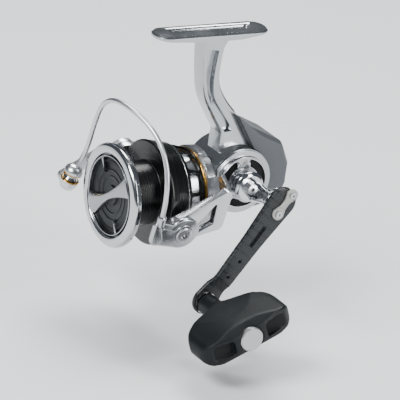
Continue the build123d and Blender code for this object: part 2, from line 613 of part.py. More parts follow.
# ---------------------------------------------------------------- rotor group
pinion_front, journal_end = 30.6, bush_front + BUSH_WIDTH
teeth_front, teeth_end = mesh_place - 2.2, bush_front - FACE
with BuildPart() as pinion:
    ring(spool_plane, pinion_front, ROTOR_FRONT, PINION_THREAD_RADIUS)
    ring(spool_plane, ROTOR_FRONT, teeth_front, PINION_SEAT_RADIUS)
    ring(spool_plane, teeth_front, journal_end, journal_radius)
    # a gap stands at the meeting line, where one of the drive gear's teeth lies
    teeth = outline(
        spool_plane.offset(teeth_front),
        gear_outline(PINION_TEETH, TOOTH_MODULE, TOOTH_REACH, TOOTH_ROOT, TOOTH_TIP, TOOTH_BASE),
    )
    extrude(teeth.rotate(spool_axis, 180 / PINION_TEETH), amount=teeth_end - teeth_front)
    ring(spool_plane, pinion_front - 1, journal_end + 1, SHAFT_RADIUS + RUN, mode=Mode.SUBTRACT)
keep(pinion, "pinion")

with BuildPart() as clutch_sleeve:
    ring(
        spool_plane, NECK_FRONT - 0.9, NECK_FRONT + CLUTCH_LENGTH - 0.1,
        SLEEVE_RADIUS, PINION_SEAT_RADIUS + SEAT,
    )
keep(clutch_sleeve, "clutch_sleeve")

web_rear = ROTOR_FRONT + 2.5
drum_bore = DRUM_RADIUS - DRUM_WALL
FLARE_FRONT = SKIRT_REAR + 1.2
lean_turn = atan2(BOSS_OUT - (ARM_ROOT + ARM_THICK + 0.4), pivot_ahead)
arm_normal = out_way * cos(lean_turn) - front_way * sin(lean_turn)
arm_plane = Plane(origin=rotor_plane.from_local_coords((ARM_ROOT, 0, 0)), x_dir=lean_way, z_dir=arm_normal)
arm_run = pivot_ahead / cos(lean_turn)
ARM_CORNER = 2.8
arm_hull = [(0, arm_run, BOSS_RADIUS), (ARM_SPREAD - ARM_CORNER, 3.0, ARM_CORNER), (-1.6, 3.0, ARM_CORNER)]
arm_window = [(-3.0, 14.8, 0.8), (1.6, 15.6, 0.8), (11.4, 8.6, 0.8), (0.4, 7.4, 0.8)]
TRIP_PIN = 0.9
TRIP_PLACE = (-10.0, 6.5)  # the trip lever's pin on the far arm: B, forward of the rotor's rear
with BuildPart() as rotor_arm:
    hull(arm_plane, 0, ARM_THICK, arm_hull)
    ring(bail_plane, BOSS_IN, BOSS_OUT, BOSS_RADIUS)
    ring(bail_plane, BOSS_OUT, BOSS_OUT + 8, 2.4 * BOSS_RADIUS, mode=Mode.SUBTRACT)
    ring(bail_plane, BOSS_IN - 6, BOSS_IN, BOSS_RADIUS + 2, mode=Mode.SUBTRACT)
    hull(arm_plane, -1, ARM_THICK + 1, arm_window, mode=Mode.SUBTRACT)
    ring(bail_plane, BOSS_IN - 1, BOSS_OUT + 1, PIVOT_RADIUS + SEAT, mode=Mode.SUBTRACT)

trip_plane = Plane(origin=rotor_plane.origin, x_dir=lean_way, z_dir=out_way)
with BuildPart() as rotor:
    turned([
        (ROTOR_FRONT, PINION_SEAT_RADIUS + SEAT), (ROTOR_FRONT, DRUM_RADIUS - 0.6),
        (ROTOR_FRONT + 0.6, DRUM_RADIUS), (FLARE_FRONT, DRUM_RADIUS), (FLARE_FRONT, 20.2),
        (FLARE_FRONT + 0.6, 21.2), (ROTOR_REAR - 1.9, RIM_RADIUS - 0.6), (ROTOR_REAR - 1.3, RIM_RADIUS),
        (ROTOR_REAR, RIM_RADIUS), (ROTOR_REAR, RIM_RADIUS - 2.6), (FLARE_FRONT + 2.4, 18.6),
        (FLARE_FRONT + 0.6, drum_bore), (web_rear, drum_bore), (web_rear, PINION_SEAT_RADIUS + SEAT),
    ])
    # the rear plate widens to carry the two arms
    with BuildSketch(rotor_plane):
        Circle(RIM_RADIUS - 0.2)
        for side_way in (1, -1):
            for x, y in ((ARM_ROOT, ARM_SPREAD - 3.0), (ARM_ROOT, -1.4)):
                with Locations((side_way * x, side_way * y)):
                    Circle(3.0)
        make_hull()
        Circle(RIM_RADIUS - 2.4, mode=Mode.SUBTRACT)
    extrude(amount=2.2)
    add(rotor_arm.part)
    add(rotor_arm.part.rotate(spool_axis, 180))
    # a ring-shaped pocket in the far boss for the bail's spring
    ring(bail_plane, -BOSS_OUT - 1, -BOSS_OUT + 2.4, BOSS_RADIUS - 1.2, PIVOT_RADIUS + 1.4, mode=Mode.SUBTRACT)
    # the trip lever's pivot hole in the far arm
    with BuildSketch(trip_plane):
        with Locations(TRIP_PLACE):
            Circle(TRIP_PIN + RUN)
    extrude(amount=-BOSS_OUT, mode=Mode.SUBTRACT)
keep(rotor, "rotor")

with BuildPart() as rotor_nut:
    with BuildSketch(spool_plane.offset(pinion_front + 0.2)):
        RegularPolygon(5.6, 6)
        Circle(PINION_THREAD_RADIUS + SEAT, mode=Mode.SUBTRACT)
    extrude(amount=ROTOR_FRONT - pinion_front - 0.2)
keep(rotor_nut, "rotor_nut")

far_bail_plane = Plane(origin=bail_plane.origin, x_dir=lean_way, z_dir=out_way * -1)
lever_in = BOSS_OUT + AIR
lever_out = lever_in + LEVER_THICK
with BuildPart() as bail_pivot_screws:
    for side_plane in (bail_plane, far_bail_plane):
        screw(side_plane, lever_out + FACE, 4.4, 1.1, PIVOT_RADIUS, lever_out + FACE - BOSS_IN - 0.5, socket=1.9)
keep(bail_pivot_screws, "bail_pivot_screws")

SPRING_WIRE = 0.4
with BuildPart() as bail_spring:
    coil_radius = (BOSS_RADIUS - 1.2 + PIVOT_RADIUS + 1.4) / 2
    with BuildLine() as coil:
        Helix(
            pitch=0.95, height=1.5, radius=coil_radius,
            center=bail_plane.from_local_coords((0, 0, -BOSS_OUT + 0.5)), direction=out_way,
        )
    with BuildSketch(Plane(origin=coil.line @ 0, z_dir=coil.line % 0)):
        Circle(SPRING_WIRE)
    sweep()
keep(bail_spring, "bail_spring")

far_arm_plane = Plane(
    origin=rotor_plane.from_local_coords((-ARM_ROOT, 0, 0)), x_dir=lean_way,
    z_dir=out_way * -cos(lean_turn) - front_way * sin(lean_turn),
)
far_arm_plane_up = 1 if far_arm_plane.y_dir.dot(front_way) > 0 else -1
with BuildPart() as arm_cover:
    plate = [(-x, far_arm_plane_up * y, radius + 1.3) for x, y, radius in arm_window]
    hull(far_arm_plane, ARM_THICK + SEAT, ARM_THICK + 0.8, plate)
keep(arm_cover, "arm_cover")

trip_in = ARM_ROOT - 1.3
with BuildPart() as trip_lever:
    tail = [(TRIP_PLACE[0], TRIP_PLACE[1], 1.9), (TRIP_PLACE[0] + 7.5, TRIP_PLACE[1] + 0.4, 1.2)]
    hull(trip_plane, -trip_in - 1.0, -trip_in, tail)
    with BuildSketch(trip_plane.offset(-trip_in)):
        with Locations(TRIP_PLACE):
            Circle(TRIP_PIN)
    extrude(amount=-4.0)
keep(trip_lever, "trip_lever")

# ---------------------------------------------------------------- bail group, from the closed bail
roller_turn = radians(ROLLER_TILT)
roller_plane = Plane(
    origin=bail_plane.from_local_coords(ROLLER_PLACE), x_dir=out_way,
    z_dir=front_way * cos(roller_turn) - lean_way * sin(roller_turn),
)
roller_side = Plane(
    origin=roller_plane.origin, x_dir=roller_plane.z_dir,
    z_dir=roller_plane.z_dir.cross(out_way) * 1.0,
)
roller_axis = Axis(roller_plane.origin, roller_plane.z_dir)
half_roller = LINE_ROLLER_WIDTH / 2
dome_start = half_roller + 0.2
AXLE = 1.3


def bail_point(out, lean, ahead):
    """A place on the bail: outward, towards B, and forward of the hinge line."""
    return bail_plane.from_local_coords((lean, ahead, out))


wire_socket = bail_point((lever_in + lever_out) / 2, 8.6, 14.5)
dome_tip = roller_plane.from_local_coords((0, 0, -dome_start - 3.4))
wire_route = [
    wire_socket,
    bail_point(31.8, 30.0, 15.0),
    bail_point(14.0, 46.0, 13.0),
    bail_point(-15.0, 47.4, 23.4),
    bail_point(-28.8, 35.6, 23.4),
    bail_point(-30.5, 5.0, 23.2),
    dome_tip,
]
wire_bends = [10.0, 20.0, 16.0, 9.0, 30.0, 3.5]
socket_way = (wire_route[1] - wire_route[0]).normalized()
socket_plane = Plane(origin=wire_socket, z_dir=socket_way)
lever_hull = [(0, 0, 7.0), (5.6, 14.9, 3.2), (-1.4, 13.4, 4.4)]
with BuildPart() as bail_lever:
    hull(bail_plane, lever_in, lever_out, lever_hull)
    ring(socket_plane, -2.0, 3.6, WIRE_RADIUS + 1.0)
    ring(bail_plane, lever_in - 1, lever_out + 1, PIVOT_RADIUS + RUN, mode=Mode.SUBTRACT)
    ring(bail_plane, lever_in - 4, lever_in, 2.4 * BOSS_RADIUS, mode=Mode.SUBTRACT)
    ring(socket_plane, 0, 8, WIRE_RADIUS + SEAT, mode=Mode.SUBTRACT)
keep(bail_lever, "bail_lever")

with BuildPart() as bail_wire:
    with BuildLine() as route:
        FilletPolyline(*wire_route, radius=wire_bends[:-1])
    with BuildSketch(Plane(origin=route.line @ 0, z_dir=route.line % 0)):
        Circle(WIRE_RADIUS)
    sweep()
    turned([
        (-dome_start, 0), (-dome_start, DOME_RADIUS - 0.3), (-dome_start - 0.5, DOME_RADIUS),
        (-dome_start - 1.6, DOME_RADIUS - 0.2), (-dome_start - 3.2, 3.6), (-dome_start - 4.4, 2.0),
        (-dome_start - 4.9, 0),
    ], plane=roller_side, axis=roller_axis)
    ring(roller_plane, -dome_start - 3.2, 0, AXLE + SEAT, mode=Mode.SUBTRACT)
keep(bail_wire, "bail_wire")

eye = roller_plane.from_local_coords((0, 0, dome_start + 2.2))
eye_lean, eye_ahead, eye_out = bail_plane.to_local_coords(eye)
far_out = -lever_out
with BuildPart() as bail_roller_arm:
    hull(bail_plane, far_out, -lever_in, [(0, 0, 7.0), (-4.4, 15.0, 3.2)])
    hull(bail_plane, far_out - 2.3, far_out + 0.1, [(-3.6, 12.0, 3.4), (eye_lean, eye_ahead, 2.8)])
    with BuildSketch(bail_plane.offset(far_out - 1)):
        with Locations((eye_lean, eye_ahead)):
            Circle(1.9)
    extrude(amount=eye_out - far_out)
    turned([
        (dome_start, 0), (dome_start, DOME_RADIUS - 0.3), (dome_start + 0.5, DOME_RADIUS),
        (dome_start + 2.8, DOME_RADIUS - 0.4), (dome_start + 4.8, 3.6), (dome_start + 5.6, 2.6),
        (dome_start + 5.6, 0),
    ], plane=roller_side, axis=roller_axis)
    ring(roller_plane, 0, dome_start + 6, AXLE + SEAT, mode=Mode.SUBTRACT)
    ring(roller_plane, dome_start + 3.4, dome_start + 7, 2.2, mode=Mode.SUBTRACT)
    ring(bail_plane, far_out - 1, -lever_in + 1, PIVOT_RADIUS + RUN, mode=Mode.SUBTRACT)
keep(bail_roller_arm, "bail_roller_arm")

with BuildPart() as roller_screw:
    screw(roller_plane, dome_start + 3.42, 2.1, 1.4, AXLE, 2 * dome_start + 6.4, socket=1.1)
keep(roller_screw, "roller_screw")

ROLLER_BEARING = 2.5
with BuildPart() as line_roller:
    turned([
        (-half_roller, ROLLER_BEARING), (-half_roller, LINE_ROLLER_RADIUS),
        (-half_roller + 0.5, LINE_ROLLER_RADIUS), (0, LINE_ROLLER_RADIUS - 0.7),
        (half_roller - 0.5, LINE_ROLLER_RADIUS), (half_roller, LINE_ROLLER_RADIUS), (half_roller, ROLLER_BEARING),
    ], plane=roller_side, axis=roller_axis)
keep(line_roller, "line_roller")

with BuildPart() as roller_bearing:
    ring(roller_plane, -half_roller + 0.2, half_roller - 0.2, ROLLER_BEARING - SEAT, AXLE + RUN)
keep(roller_bearing, "roller_bearing")

# ---------------------------------------------------------------- spool group
lip_web = 4.4
with BuildPart() as spool_lip:
    turned([
        (1.4, LIP_BORE), (0.4, LIP_BORE + 0.7), (0, LIP_BORE + 2.4), (0.35, LIP_RADIUS - 1.1),
        (1.2, LIP_RADIUS), (2.3, LIP_RADIUS), (4.6, LIP_RADIUS - 0.5), (5.2, 22.4),
        (5.6, ARBOR_RADIUS + 1.0), (5.6, DRAG_BORE + 0.9), (lip_web, DRAG_BORE + 0.9), (lip_web, LIP_BORE),
    ])
    for n in range(LIP_HOLES):
        turn = 2 * pi * (n + 0.5) / LIP_HOLES
        drill = Plane(
            origin=(0, LIP_PLACE + 3.7, axis_z), x_dir=(0, 1, 0), z_dir=(cos(turn), 0, sin(turn))
        )
        ring(drill, LIP_RADIUS - 2.2, LIP_RADIUS + 1, 0.5, mode=Mode.SUBTRACT)
keep(spool_lip, "spool_lip")

SKIRT_WALL = 1.2
skirt_end = 20.6
bearing_end = BEARING_PLACE + SPOOL_BEARING_WIDTH
with BuildPart() as spool:
    turned([
        (5.62, ARBOR_RADIUS), (ARBOR_REAR, ARBOR_RADIUS), (ARBOR_REAR, FLANGE_RADIUS - 0.7),
        (ARBOR_REAR + 0.5, FLANGE_RADIUS), (ARBOR_REAR + 1.3, FLANGE_RADIUS), (BAND_REAR, BAND_RADIUS),
        (BAND_REAR + 0.5, BAND_RADIUS - 0.5), (SKIRT_REAR, skirt_end), (SKIRT_REAR, skirt_end - SKIRT_WALL),
        (BAND_REAR + 0.6, BAND_RADIUS - 1.9), (ARBOR_REAR + 2.7, FLANGE_RADIUS - 1.9),
        (ARBOR_REAR + 1.7, FLANGE_RADIUS - 2.7), (ARBOR_REAR + 1.7, ARBOR_RADIUS - 1.8),
        (BEARING_PLACE + 0.5, ARBOR_RADIUS - 1.8), (BEARING_PLACE + 0.5, 7.0), (bearing_end + 1.4, 7.0),
        (bearing_end + 1.4, SPOOL_BEARING_RADIUS + SEAT), (BEARING_PLACE, SPOOL_BEARING_RADIUS + SEAT),
        (BEARING_PLACE, 2.3), (DRAG_FLOOR, 2.3), (DRAG_FLOOR, DRAG_BORE), (5.62, DRAG_BORE),
    ])
    port_middle = (BAND_REAR + SKIRT_REAR) / 2 + 0.4
    port_wide = 2 * pi * (skirt_end + BAND_RADIUS) / 2 / PORTS - PORT_POST
    for n in range(PORTS):
        turn = radians(360 * n / PORTS)
        port = Plane(
            origin=(0, LIP_PLACE + port_middle, axis_z), x_dir=(0, 1, 0), z_dir=(cos(turn), 0, sin(turn))
        )
        with BuildSketch(port.offset(ARBOR_RADIUS)) as drawn:
            RectangleRounded(SKIRT_REAR - BAND_REAR - 3.6, port_wide, 1.0)
        extrude(drawn.sketch, amount=FLANGE_RADIUS - ARBOR_RADIUS, mode=Mode.SUBTRACT)
keep(spool, "spool")

with BuildPart() as spool_trim_ring:
    turned([
        (SKIRT_REAR + SEAT, skirt_end - SKIRT_WALL), (SKIRT_REAR + SEAT, skirt_end + 0.3),
        (SKIRT_REAR + 0.8, skirt_end + 0.1), (SKIRT_REAR + 0.8, skirt_end - SKIRT_WALL),
    ])
keep(spool_trim_ring, "spool_trim_ring")

with BuildPart() as spool_bearing:
    ring(spool_plane, BEARING_PLACE, bearing_end, SPOOL_BEARING_RADIUS, SHAFT_RADIUS + RUN)
keep(spool_bearing, "spool_bearing")

# the drag stack, from the cavity's floor forward
stack = [DRAG_FLOOR - WASHER_THICK - n * (WASHER_THICK + 0.05) for n in range(6)]
with BuildPart() as felt_drag_washers:
    for n in (0, 2, 4):
        ring(spool_plane, stack[n], stack[n] + WASHER_THICK, DRAG_BORE - 0.5, 3.2)
keep(felt_drag_washers, "felt_drag_washers")

with BuildPart() as keyed_drag_washers:
    for n in (1, 5):
        ring(spool_plane, stack[n], stack[n] + WASHER_THICK, DRAG_BORE - 0.9, SHAFT_RADIUS + SEAT)
keep(keyed_drag_washers, "keyed_drag_washers")

with BuildPart() as eared_drag_washer:
    ring(spool_plane, stack[3], stack[3] + WASHER_THICK, DRAG_BORE - SEAT, 3.2)
keep(eared_drag_washer, "eared_drag_washer")

clip_place = stack[5] - 0.75
with BuildPart() as drag_clip:
    ring(spool_plane, clip_place, clip_place + 0.6, DRAG_BORE - SEAT, DRAG_BORE - 0.8)
keep(drag_clip, "drag_clip")

ratchet_place = ARBOR_REAR + 1.9
with BuildPart() as click_ratchet:
    saw = outline(spool_plane.offset(ratchet_place), gear_outline(24, 0.5, 0.3, 0.4, 0.4, 0.9))
    extrude(saw, amount=1.1)
    ring(spool_plane, ratchet_place - 1, ratchet_place + 2, SHAFT_RADIUS + SEAT, mode=Mode.SUBTRACT)
keep(click_ratchet, "click_ratchet")

with BuildPart() as click_pawl:
    hull(spool_plane, ARBOR_REAR + 1.7 + SEAT, ARBOR_REAR + 2.8, [(0, 17.0, 2.2), (0.6, 8.0, 0.9)])
keep(click_pawl, "click_pawl")

# ---------------------------------------------------------------- drag knob
disc_front, disc_rear = 2.2, lip_web - AIR
nut_front, nut_rear = 5.0, 7.4
with BuildPart() as drag_knob:
    ring(spool_plane, disc_front, disc_rear, KNOB_RADIUS)
    for inward in (13.0, 9.6, 6.2, 2.8):
        rib = KNOB_RADIUS - inward
        ring(spool_plane, disc_front - 0.6, disc_front, rib + 0.55, rib)
    ring(spool_plane, disc_front - 0.6, disc_front, KNOB_RADIUS, KNOB_RADIUS - 1.3)
    ring(spool_plane, disc_rear, nut_rear + 0.4, 6.4)
    with BuildSketch(spool_plane.offset(nut_front - 0.4)):
        RegularPolygon(3.6 + SEAT, 6)
    extrude(amount=6, mode=Mode.SUBTRACT)
    ring(spool_plane, 3.2, nut_rear, SHAFT_RADIUS + 0.3, mode=Mode.SUBTRACT)
keep(drag_knob, "drag_knob")

bar_turn = radians(DRAG_BAR_ANGLE)
bar_plane = Plane(
    origin=spool_plane.origin, x_dir=(cos(bar_turn), 0, sin(bar_turn)), z_dir=(0, 1, 0)
)
bar_end, bar_half = KNOB_RADIUS - 1.4, (KNOB_RADIUS - 1.0) / 2
rib_start, rib_end = 1.9, KNOB_RADIUS - 1.1
with BuildPart() as drag_knob_bar:
    with BuildSketch(bar_plane.offset(-0.9)):
        with BuildLine():
            for x_way in (1, -1):
                Spline((x_way * bar_end, 6.2), (x_way * bar_half, 3.4), (0, 2.2))
                Spline((x_way * bar_end, -6.2), (x_way * bar_half, -3.4), (0, -2.2))
                ThreePointArc((x_way * bar_end, 6.2), (x_way * (bar_end + 1.0), 0), (x_way * bar_end, -6.2))
        make_face()
    extrude(amount=disc_front - 0.6 - SEAT + 0.9)
    for rib_way in (1, -1):
        with BuildSketch(bar_plane.offset(0.5)):
            with Locations((0, rib_way * (rib_start + rib_end) / 2)):
                Rectangle(1.0, rib_end - rib_start)
        extrude(amount=disc_front - 0.6 - SEAT - 0.5)
    with BuildSketch(bar_plane.offset(0.5)):
        Circle(KNOB_RADIUS - 0.2)
        Circle(KNOB_RADIUS - 1.4, mode=Mode.SUBTRACT)
    extrude(amount=disc_front - 0.6 - SEAT - 0.5)
keep(drag_knob_bar, "drag_knob_bar")

with BuildPart() as drag_nut:
    with BuildSketch(spool_plane.offset(nut_front)):
        RegularPolygon(3.6 - SEAT, 6)
        Circle(SHAFT_RADIUS + RUN, mode=Mode.SUBTRACT)
    extrude(amount=nut_rear - nut_front)
keep(drag_nut, "drag_nut")

with BuildPart() as drag_spring_washers:
    spring_room = clip_place + 0.6 - nut_rear - 0.6
    for start, way in ((nut_rear + 0.5, 1), (nut_rear + 1.5, -1)):
        low_r, high_r = (3.6, 5.8) if way > 0 else (5.8, 3.6)
        turned([(start, low_r), (start + 0.35, low_r), (start + 0.75, high_r), (start + 0.4, high_r)])
keep(drag_spring_washers, "drag_spring_washers")

# ---------------------------------------------------------------- handle
crank_turn = radians(CRANK_ANGLE)
crank_way = Vector(0, cos(crank_turn), sin(crank_turn))
crank_plane = Plane(origin=drive_plane.origin, x_dir=crank_way, z_dir=(1, 0, 0))
crank_side_plane = Plane(origin=drive_plane.origin, x_dir=crank_way, z_dir=crank_plane.y_dir * -1)
hub_face = shaft_end_near + 1.4
with BuildPart() as handle_hub:
    ring(drive_plane, cover_face + 0.3, hub_face - 2.2, 4.8)
    ring(drive_plane, hub_face - 2.2, hub_face, 8.0)
    chamfer(handle_hub.faces().sort_by(Axis.X)[-1].edges(), 0.7)
    ring(drive_plane, cover_face, shaft_end_near + SEAT, DRIVE_SHAFT_RADIUS + SEAT, mode=Mode.SUBTRACT)
    ring(drive_plane, cover_face, hub_face + 1, HANDLE_SCREW_RADIUS + SEAT, mode=Mode.SUBTRACT)
keep(handle_hub, "handle_hub")

with BuildPart() as handle_screw:
    screw(drive_plane, hub_face + SEAT, 2.7, 2.4, HANDLE_SCREW_RADIUS - SEAT, 14.0, socket=1.4)
keep(handle_screw, "handle_screw")

neck_sections = [
    (hub_face + SEAT, 0.0, 5.2, 10.4, 3.8), (hub_face + 4.0, -0.4, 4.4, 8.8, 3.6),
    (hub_face + 14.0, -1.6, 1.0, 9.0, 5.0), (ARM_PLANE - SEAT, -3.4, CRANK_SIDE, 15.6, 8.4),
]
with BuildPart() as handle_neck:
    for place, along, side, long, thick in neck_sections:
        with BuildSketch(crank_plane.offset(place)):
            with Locations((along, side)):
                RectangleRounded(long, thick, thick / 2 - 0.2)
    loft()
    for along in CLAMP_SPOTS:
        with BuildSketch(crank_plane.offset(ARM_PLANE - 9)):
            with Locations((along, CRANK_SIDE + CLAMP_SIDE)):
                Circle(0.9 + SEAT)
        extrude(amount=10, mode=Mode.SUBTRACT)
keep(handle_neck, "handle_neck")

arm_out = ARM_PLANE + ARM_PLATE
end_in, end_out = ARM_PLANE - JOG, arm_out - 2.2
crank_waist = CRANK_LENGTH - 11.7  # the crank's narrowest place, just before its bend
with BuildPart() as handle_arm:
    hull(crank_plane, end_in - 1, arm_out, [(-HEAD_BEYOND, CRANK_SIDE, 7.6), (20.0, CRANK_SIDE, 5.7)])
    hull(crank_plane, end_in - 1, arm_out, [(20.0, CRANK_SIDE, 5.7), (crank_waist, CRANK_SIDE, 4.9)])
    hull(crank_plane, end_in - 1, arm_out, [(crank_waist, CRANK_SIDE, 4.9), (CRANK_LENGTH - 0.7, CRANK_SIDE, 6.9)])
    side_view = outline(crank_side_plane, [
        (-20, ARM_PLANE), (-20, arm_out), (crank_waist - 2.0, arm_out), (crank_waist + 4.0, end_out),
        (70, end_out), (70, end_in), (crank_waist + 3.0, end_in), (crank_waist - 3.0, ARM_PLANE),
    ])
    extrude(side_view, amount=20, both=True, mode=Mode.INTERSECT)
    with BuildSketch(crank_plane.offset(ARM_PLANE - 3)):
        with Locations((17.0, CRANK_SIDE)):
            SlotOverall(13.2, 2.4)
        for before in (14.4, 5.0):
            with Locations((crank_waist - before, CRANK_SIDE)):
                Circle(1.3)
        with Locations((CRANK_LENGTH, CRANK_SIDE)):
            Circle(KNOB_SPINDLE_RADIUS + SEAT)
        for along in CLAMP_SPOTS:
            with Locations((along, CRANK_SIDE + CLAMP_SIDE)):
                Circle(0.9 + SEAT)
    extrude(amount=10, mode=Mode.SUBTRACT)
keep(handle_arm, "handle_arm")

clamp_ends = [(along, CRANK_SIDE + CLAMP_SIDE) for along in CLAMP_SPOTS]
with BuildPart() as arm_clamp_plate:
    for along, side in clamp_ends:
        hull(crank_plane, arm_out + SEAT, arm_out + 1.1, [(along, side - 0.6, 2.9), (along, side + 0.6, 2.9)])
    hull(crank_plane, arm_out + SEAT, arm_out + 1.1, [(*clamp_ends[0], 1.5), (*clamp_ends[1], 1.5)])
    with BuildSketch(crank_plane.offset(arm_out - 1)):
        with Locations(*clamp_ends):
            Circle(0.9 + SEAT)
    extrude(amount=4, mode=Mode.SUBTRACT)
keep(arm_clamp_plate, "arm_clamp_plate")

with BuildPart() as arm_screws:
    for along, side in clamp_ends:
        seat_plane = Plane(
            origin=crank_plane.from_local_coords((along, side, 0)), x_dir=crank_way, z_dir=(1, 0, 0)
        )
        screw(seat_plane, arm_out + 1.1 + SEAT, 1.7, 0.8, 0.9, 9.0, socket=0.8)
keep(arm_screws, "arm_screws")

# ---------------------------------------------------------------- knob
knob_centre = crank_plane.from_local_coords((CRANK_LENGTH, CRANK_SIDE, 0))
knob_turn = radians(KNOB_TURN)
bar_way = Vector(0, cos(knob_turn), sin(knob_turn))
knob_plane = Plane(origin=knob_centre, x_dir=bar_way, z_dir=(1, 0, 0))
knob_side = Plane(origin=knob_centre, x_dir=bar_way, z_dir=knob_plane.y_dir * -1)
knob_edge = Plane(origin=knob_centre, x_dir=knob_plane.y_dir, z_dir=bar_way)
knob_axis = Axis(knob_centre, (1, 0, 0))
collar_out = end_out + 1.0
grip_near, grip_far = collar_out + FACE, end_out + KNOB_LENGTH
knob_bearing_places = (grip_near + 0.5, grip_far - 11.3)
with BuildPart() as knob_spindle:
    ring(knob_plane, end_in - 0.6, end_in - SEAT, 3.2)
    ring(knob_plane, end_in - 0.6, grip_far - 7.0, KNOB_SPINDLE_RADIUS)
    ring(knob_plane, end_out + SEAT, collar_out, 5.4)
keep(knob_spindle, "knob_spindle")

half_span = KNOB_SPAN / 2
bar_near = grip_near + 17.0
with BuildPart() as knob_grip:
    # three views of the bar, one after another, then the round stem
    with BuildSketch(knob_plane.offset(grip_near)):
        with BuildLine():
            ThreePointArc((-half_span + 5.6, -6.0), (0, -8.6), (half_span - 5.6, -6.0))
            ThreePointArc((half_span - 5.6, -6.0), (half_span, 0), (half_span - 5.6, 6.0))
            ThreePointArc((half_span - 5.6, 6.0), (0, 8.6), (-half_span + 5.6, 6.0))
            ThreePointArc((-half_span + 5.6, 6.0), (-half_span, 0), (-half_span + 5.6, -6.0))
        make_face()
    extrude(amount=grip_far - grip_near)
    with BuildSketch(knob_side):
        with BuildLine():
            Spline((-half_span, grip_far - 8.5), (-half_span + 3.4, bar_near + 4.6), (-8.6, bar_near - 2.6), (0, bar_near - 7.0))
            Spline((0, bar_near - 7.0), (8.6, bar_near - 2.6), (half_span - 3.4, bar_near + 4.6), (half_span, grip_far - 8.5))
            ThreePointArc((half_span, grip_far - 8.5), (half_span - 2.8, grip_far - 4.4), (half_span - 7.6, grip_far - 2.6))
            ThreePointArc((half_span - 7.6, grip_far - 2.6), (0, grip_far), (-half_span + 7.6, grip_far - 2.6))
            ThreePointArc((-half_span + 7.6, grip_far - 2.6), (-half_span + 2.8, grip_far - 4.4), (-half_span, grip_far - 8.5))
        make_face()
    extrude(amount=20, both=True, mode=Mode.INTERSECT)
    with BuildSketch(knob_edge):
        with BuildLine():
            Polyline((-4.6, grip_near), (-8.8, grip_far - 10), (-8.2, grip_far - 5), (-5.4, grip_far - 0.8), (0, grip_far + 0.5))
            Polyline((0, grip_far + 0.5), (5.4, grip_far - 0.8), (8.2, grip_far - 5), (8.8, grip_far - 10), (4.6, grip_near))
            Line((4.6, grip_near), (-4.6, grip_near))
        make_face()
    extrude(amount=40, both=True, mode=Mode.INTERSECT)
    turned(
        [(grip_near, 0), (grip_near, 5.0), (grip_near + 0.6, 5.3), (bar_near - 4, 5.6), (bar_near + 6, 7.0), (bar_near + 6, 0)],
        plane=Plane(origin=knob_centre, x_dir=(1, 0, 0), z_dir=knob_plane.y_dir * -1), axis=knob_axis,
    )
    ring(knob_plane, grip_near - 1, grip_far - 2.4, KNOB_SPINDLE_RADIUS + 0.5, mode=Mode.SUBTRACT)
    for start in knob_bearing_places:
        ring(knob_plane, start, start + KNOB_BEARING_WIDTH, KNOB_BEARING_RADIUS + SEAT, mode=Mode.SUBTRACT)
    ring(knob_plane, grip_near - 1, grip_near + 0.5, KNOB_BEARING_RADIUS + SEAT, mode=Mode.SUBTRACT)
    ring(knob_plane, knob_bearing_places[1], grip_far + 1, KNOB_BEARING_RADIUS + SEAT, mode=Mode.SUBTRACT)
    ring(knob_plane, grip_far - 2.4, grip_far + 2, 6.1 + SEAT, mode=Mode.SUBTRACT)
    for side_way in (1, -1):
        with BuildSketch(knob_plane.offset(grip_far - 3.8)):
            with Locations((side_way * 14.6, 0)):
                RectangleRounded(11.0, 7.6, 1.4)
        extrude(amount=6, mode=Mode.SUBTRACT)
keep(knob_grip, "knob_grip")

with BuildPart() as knob_cap:
    ring(knob_plane, grip_far - 2.4 + SEAT, grip_far, 6.1)
    chamfer(knob_cap.faces().sort_by(Axis.X)[-1].edges(), 0.5)
    ring(knob_plane, grip_far - 4.4, grip_far - 2.4 + SEAT, KNOB_BEARING_RADIUS - 0.6, KNOB_BEARING_RADIUS - 1.4)
keep(knob_cap, "knob_cap")

with BuildPart() as knob_bearings:
    for start in knob_bearing_places:
        ring(knob_plane, start, start + KNOB_BEARING_WIDTH, KNOB_BEARING_RADIUS, KNOB_SPINDLE_RADIUS + RUN)
keep(knob_bearings, "knob_bearings")
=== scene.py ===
"""Finished surfaces, finishes, light and camera for a spinning reel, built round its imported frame."""

import json
import logging
import math
from dataclasses import dataclass
from enum import Enum
from typing import Any, Iterable, Sequence

import bmesh
import bpy
import numpy as np
from mathutils import Matrix, Vector

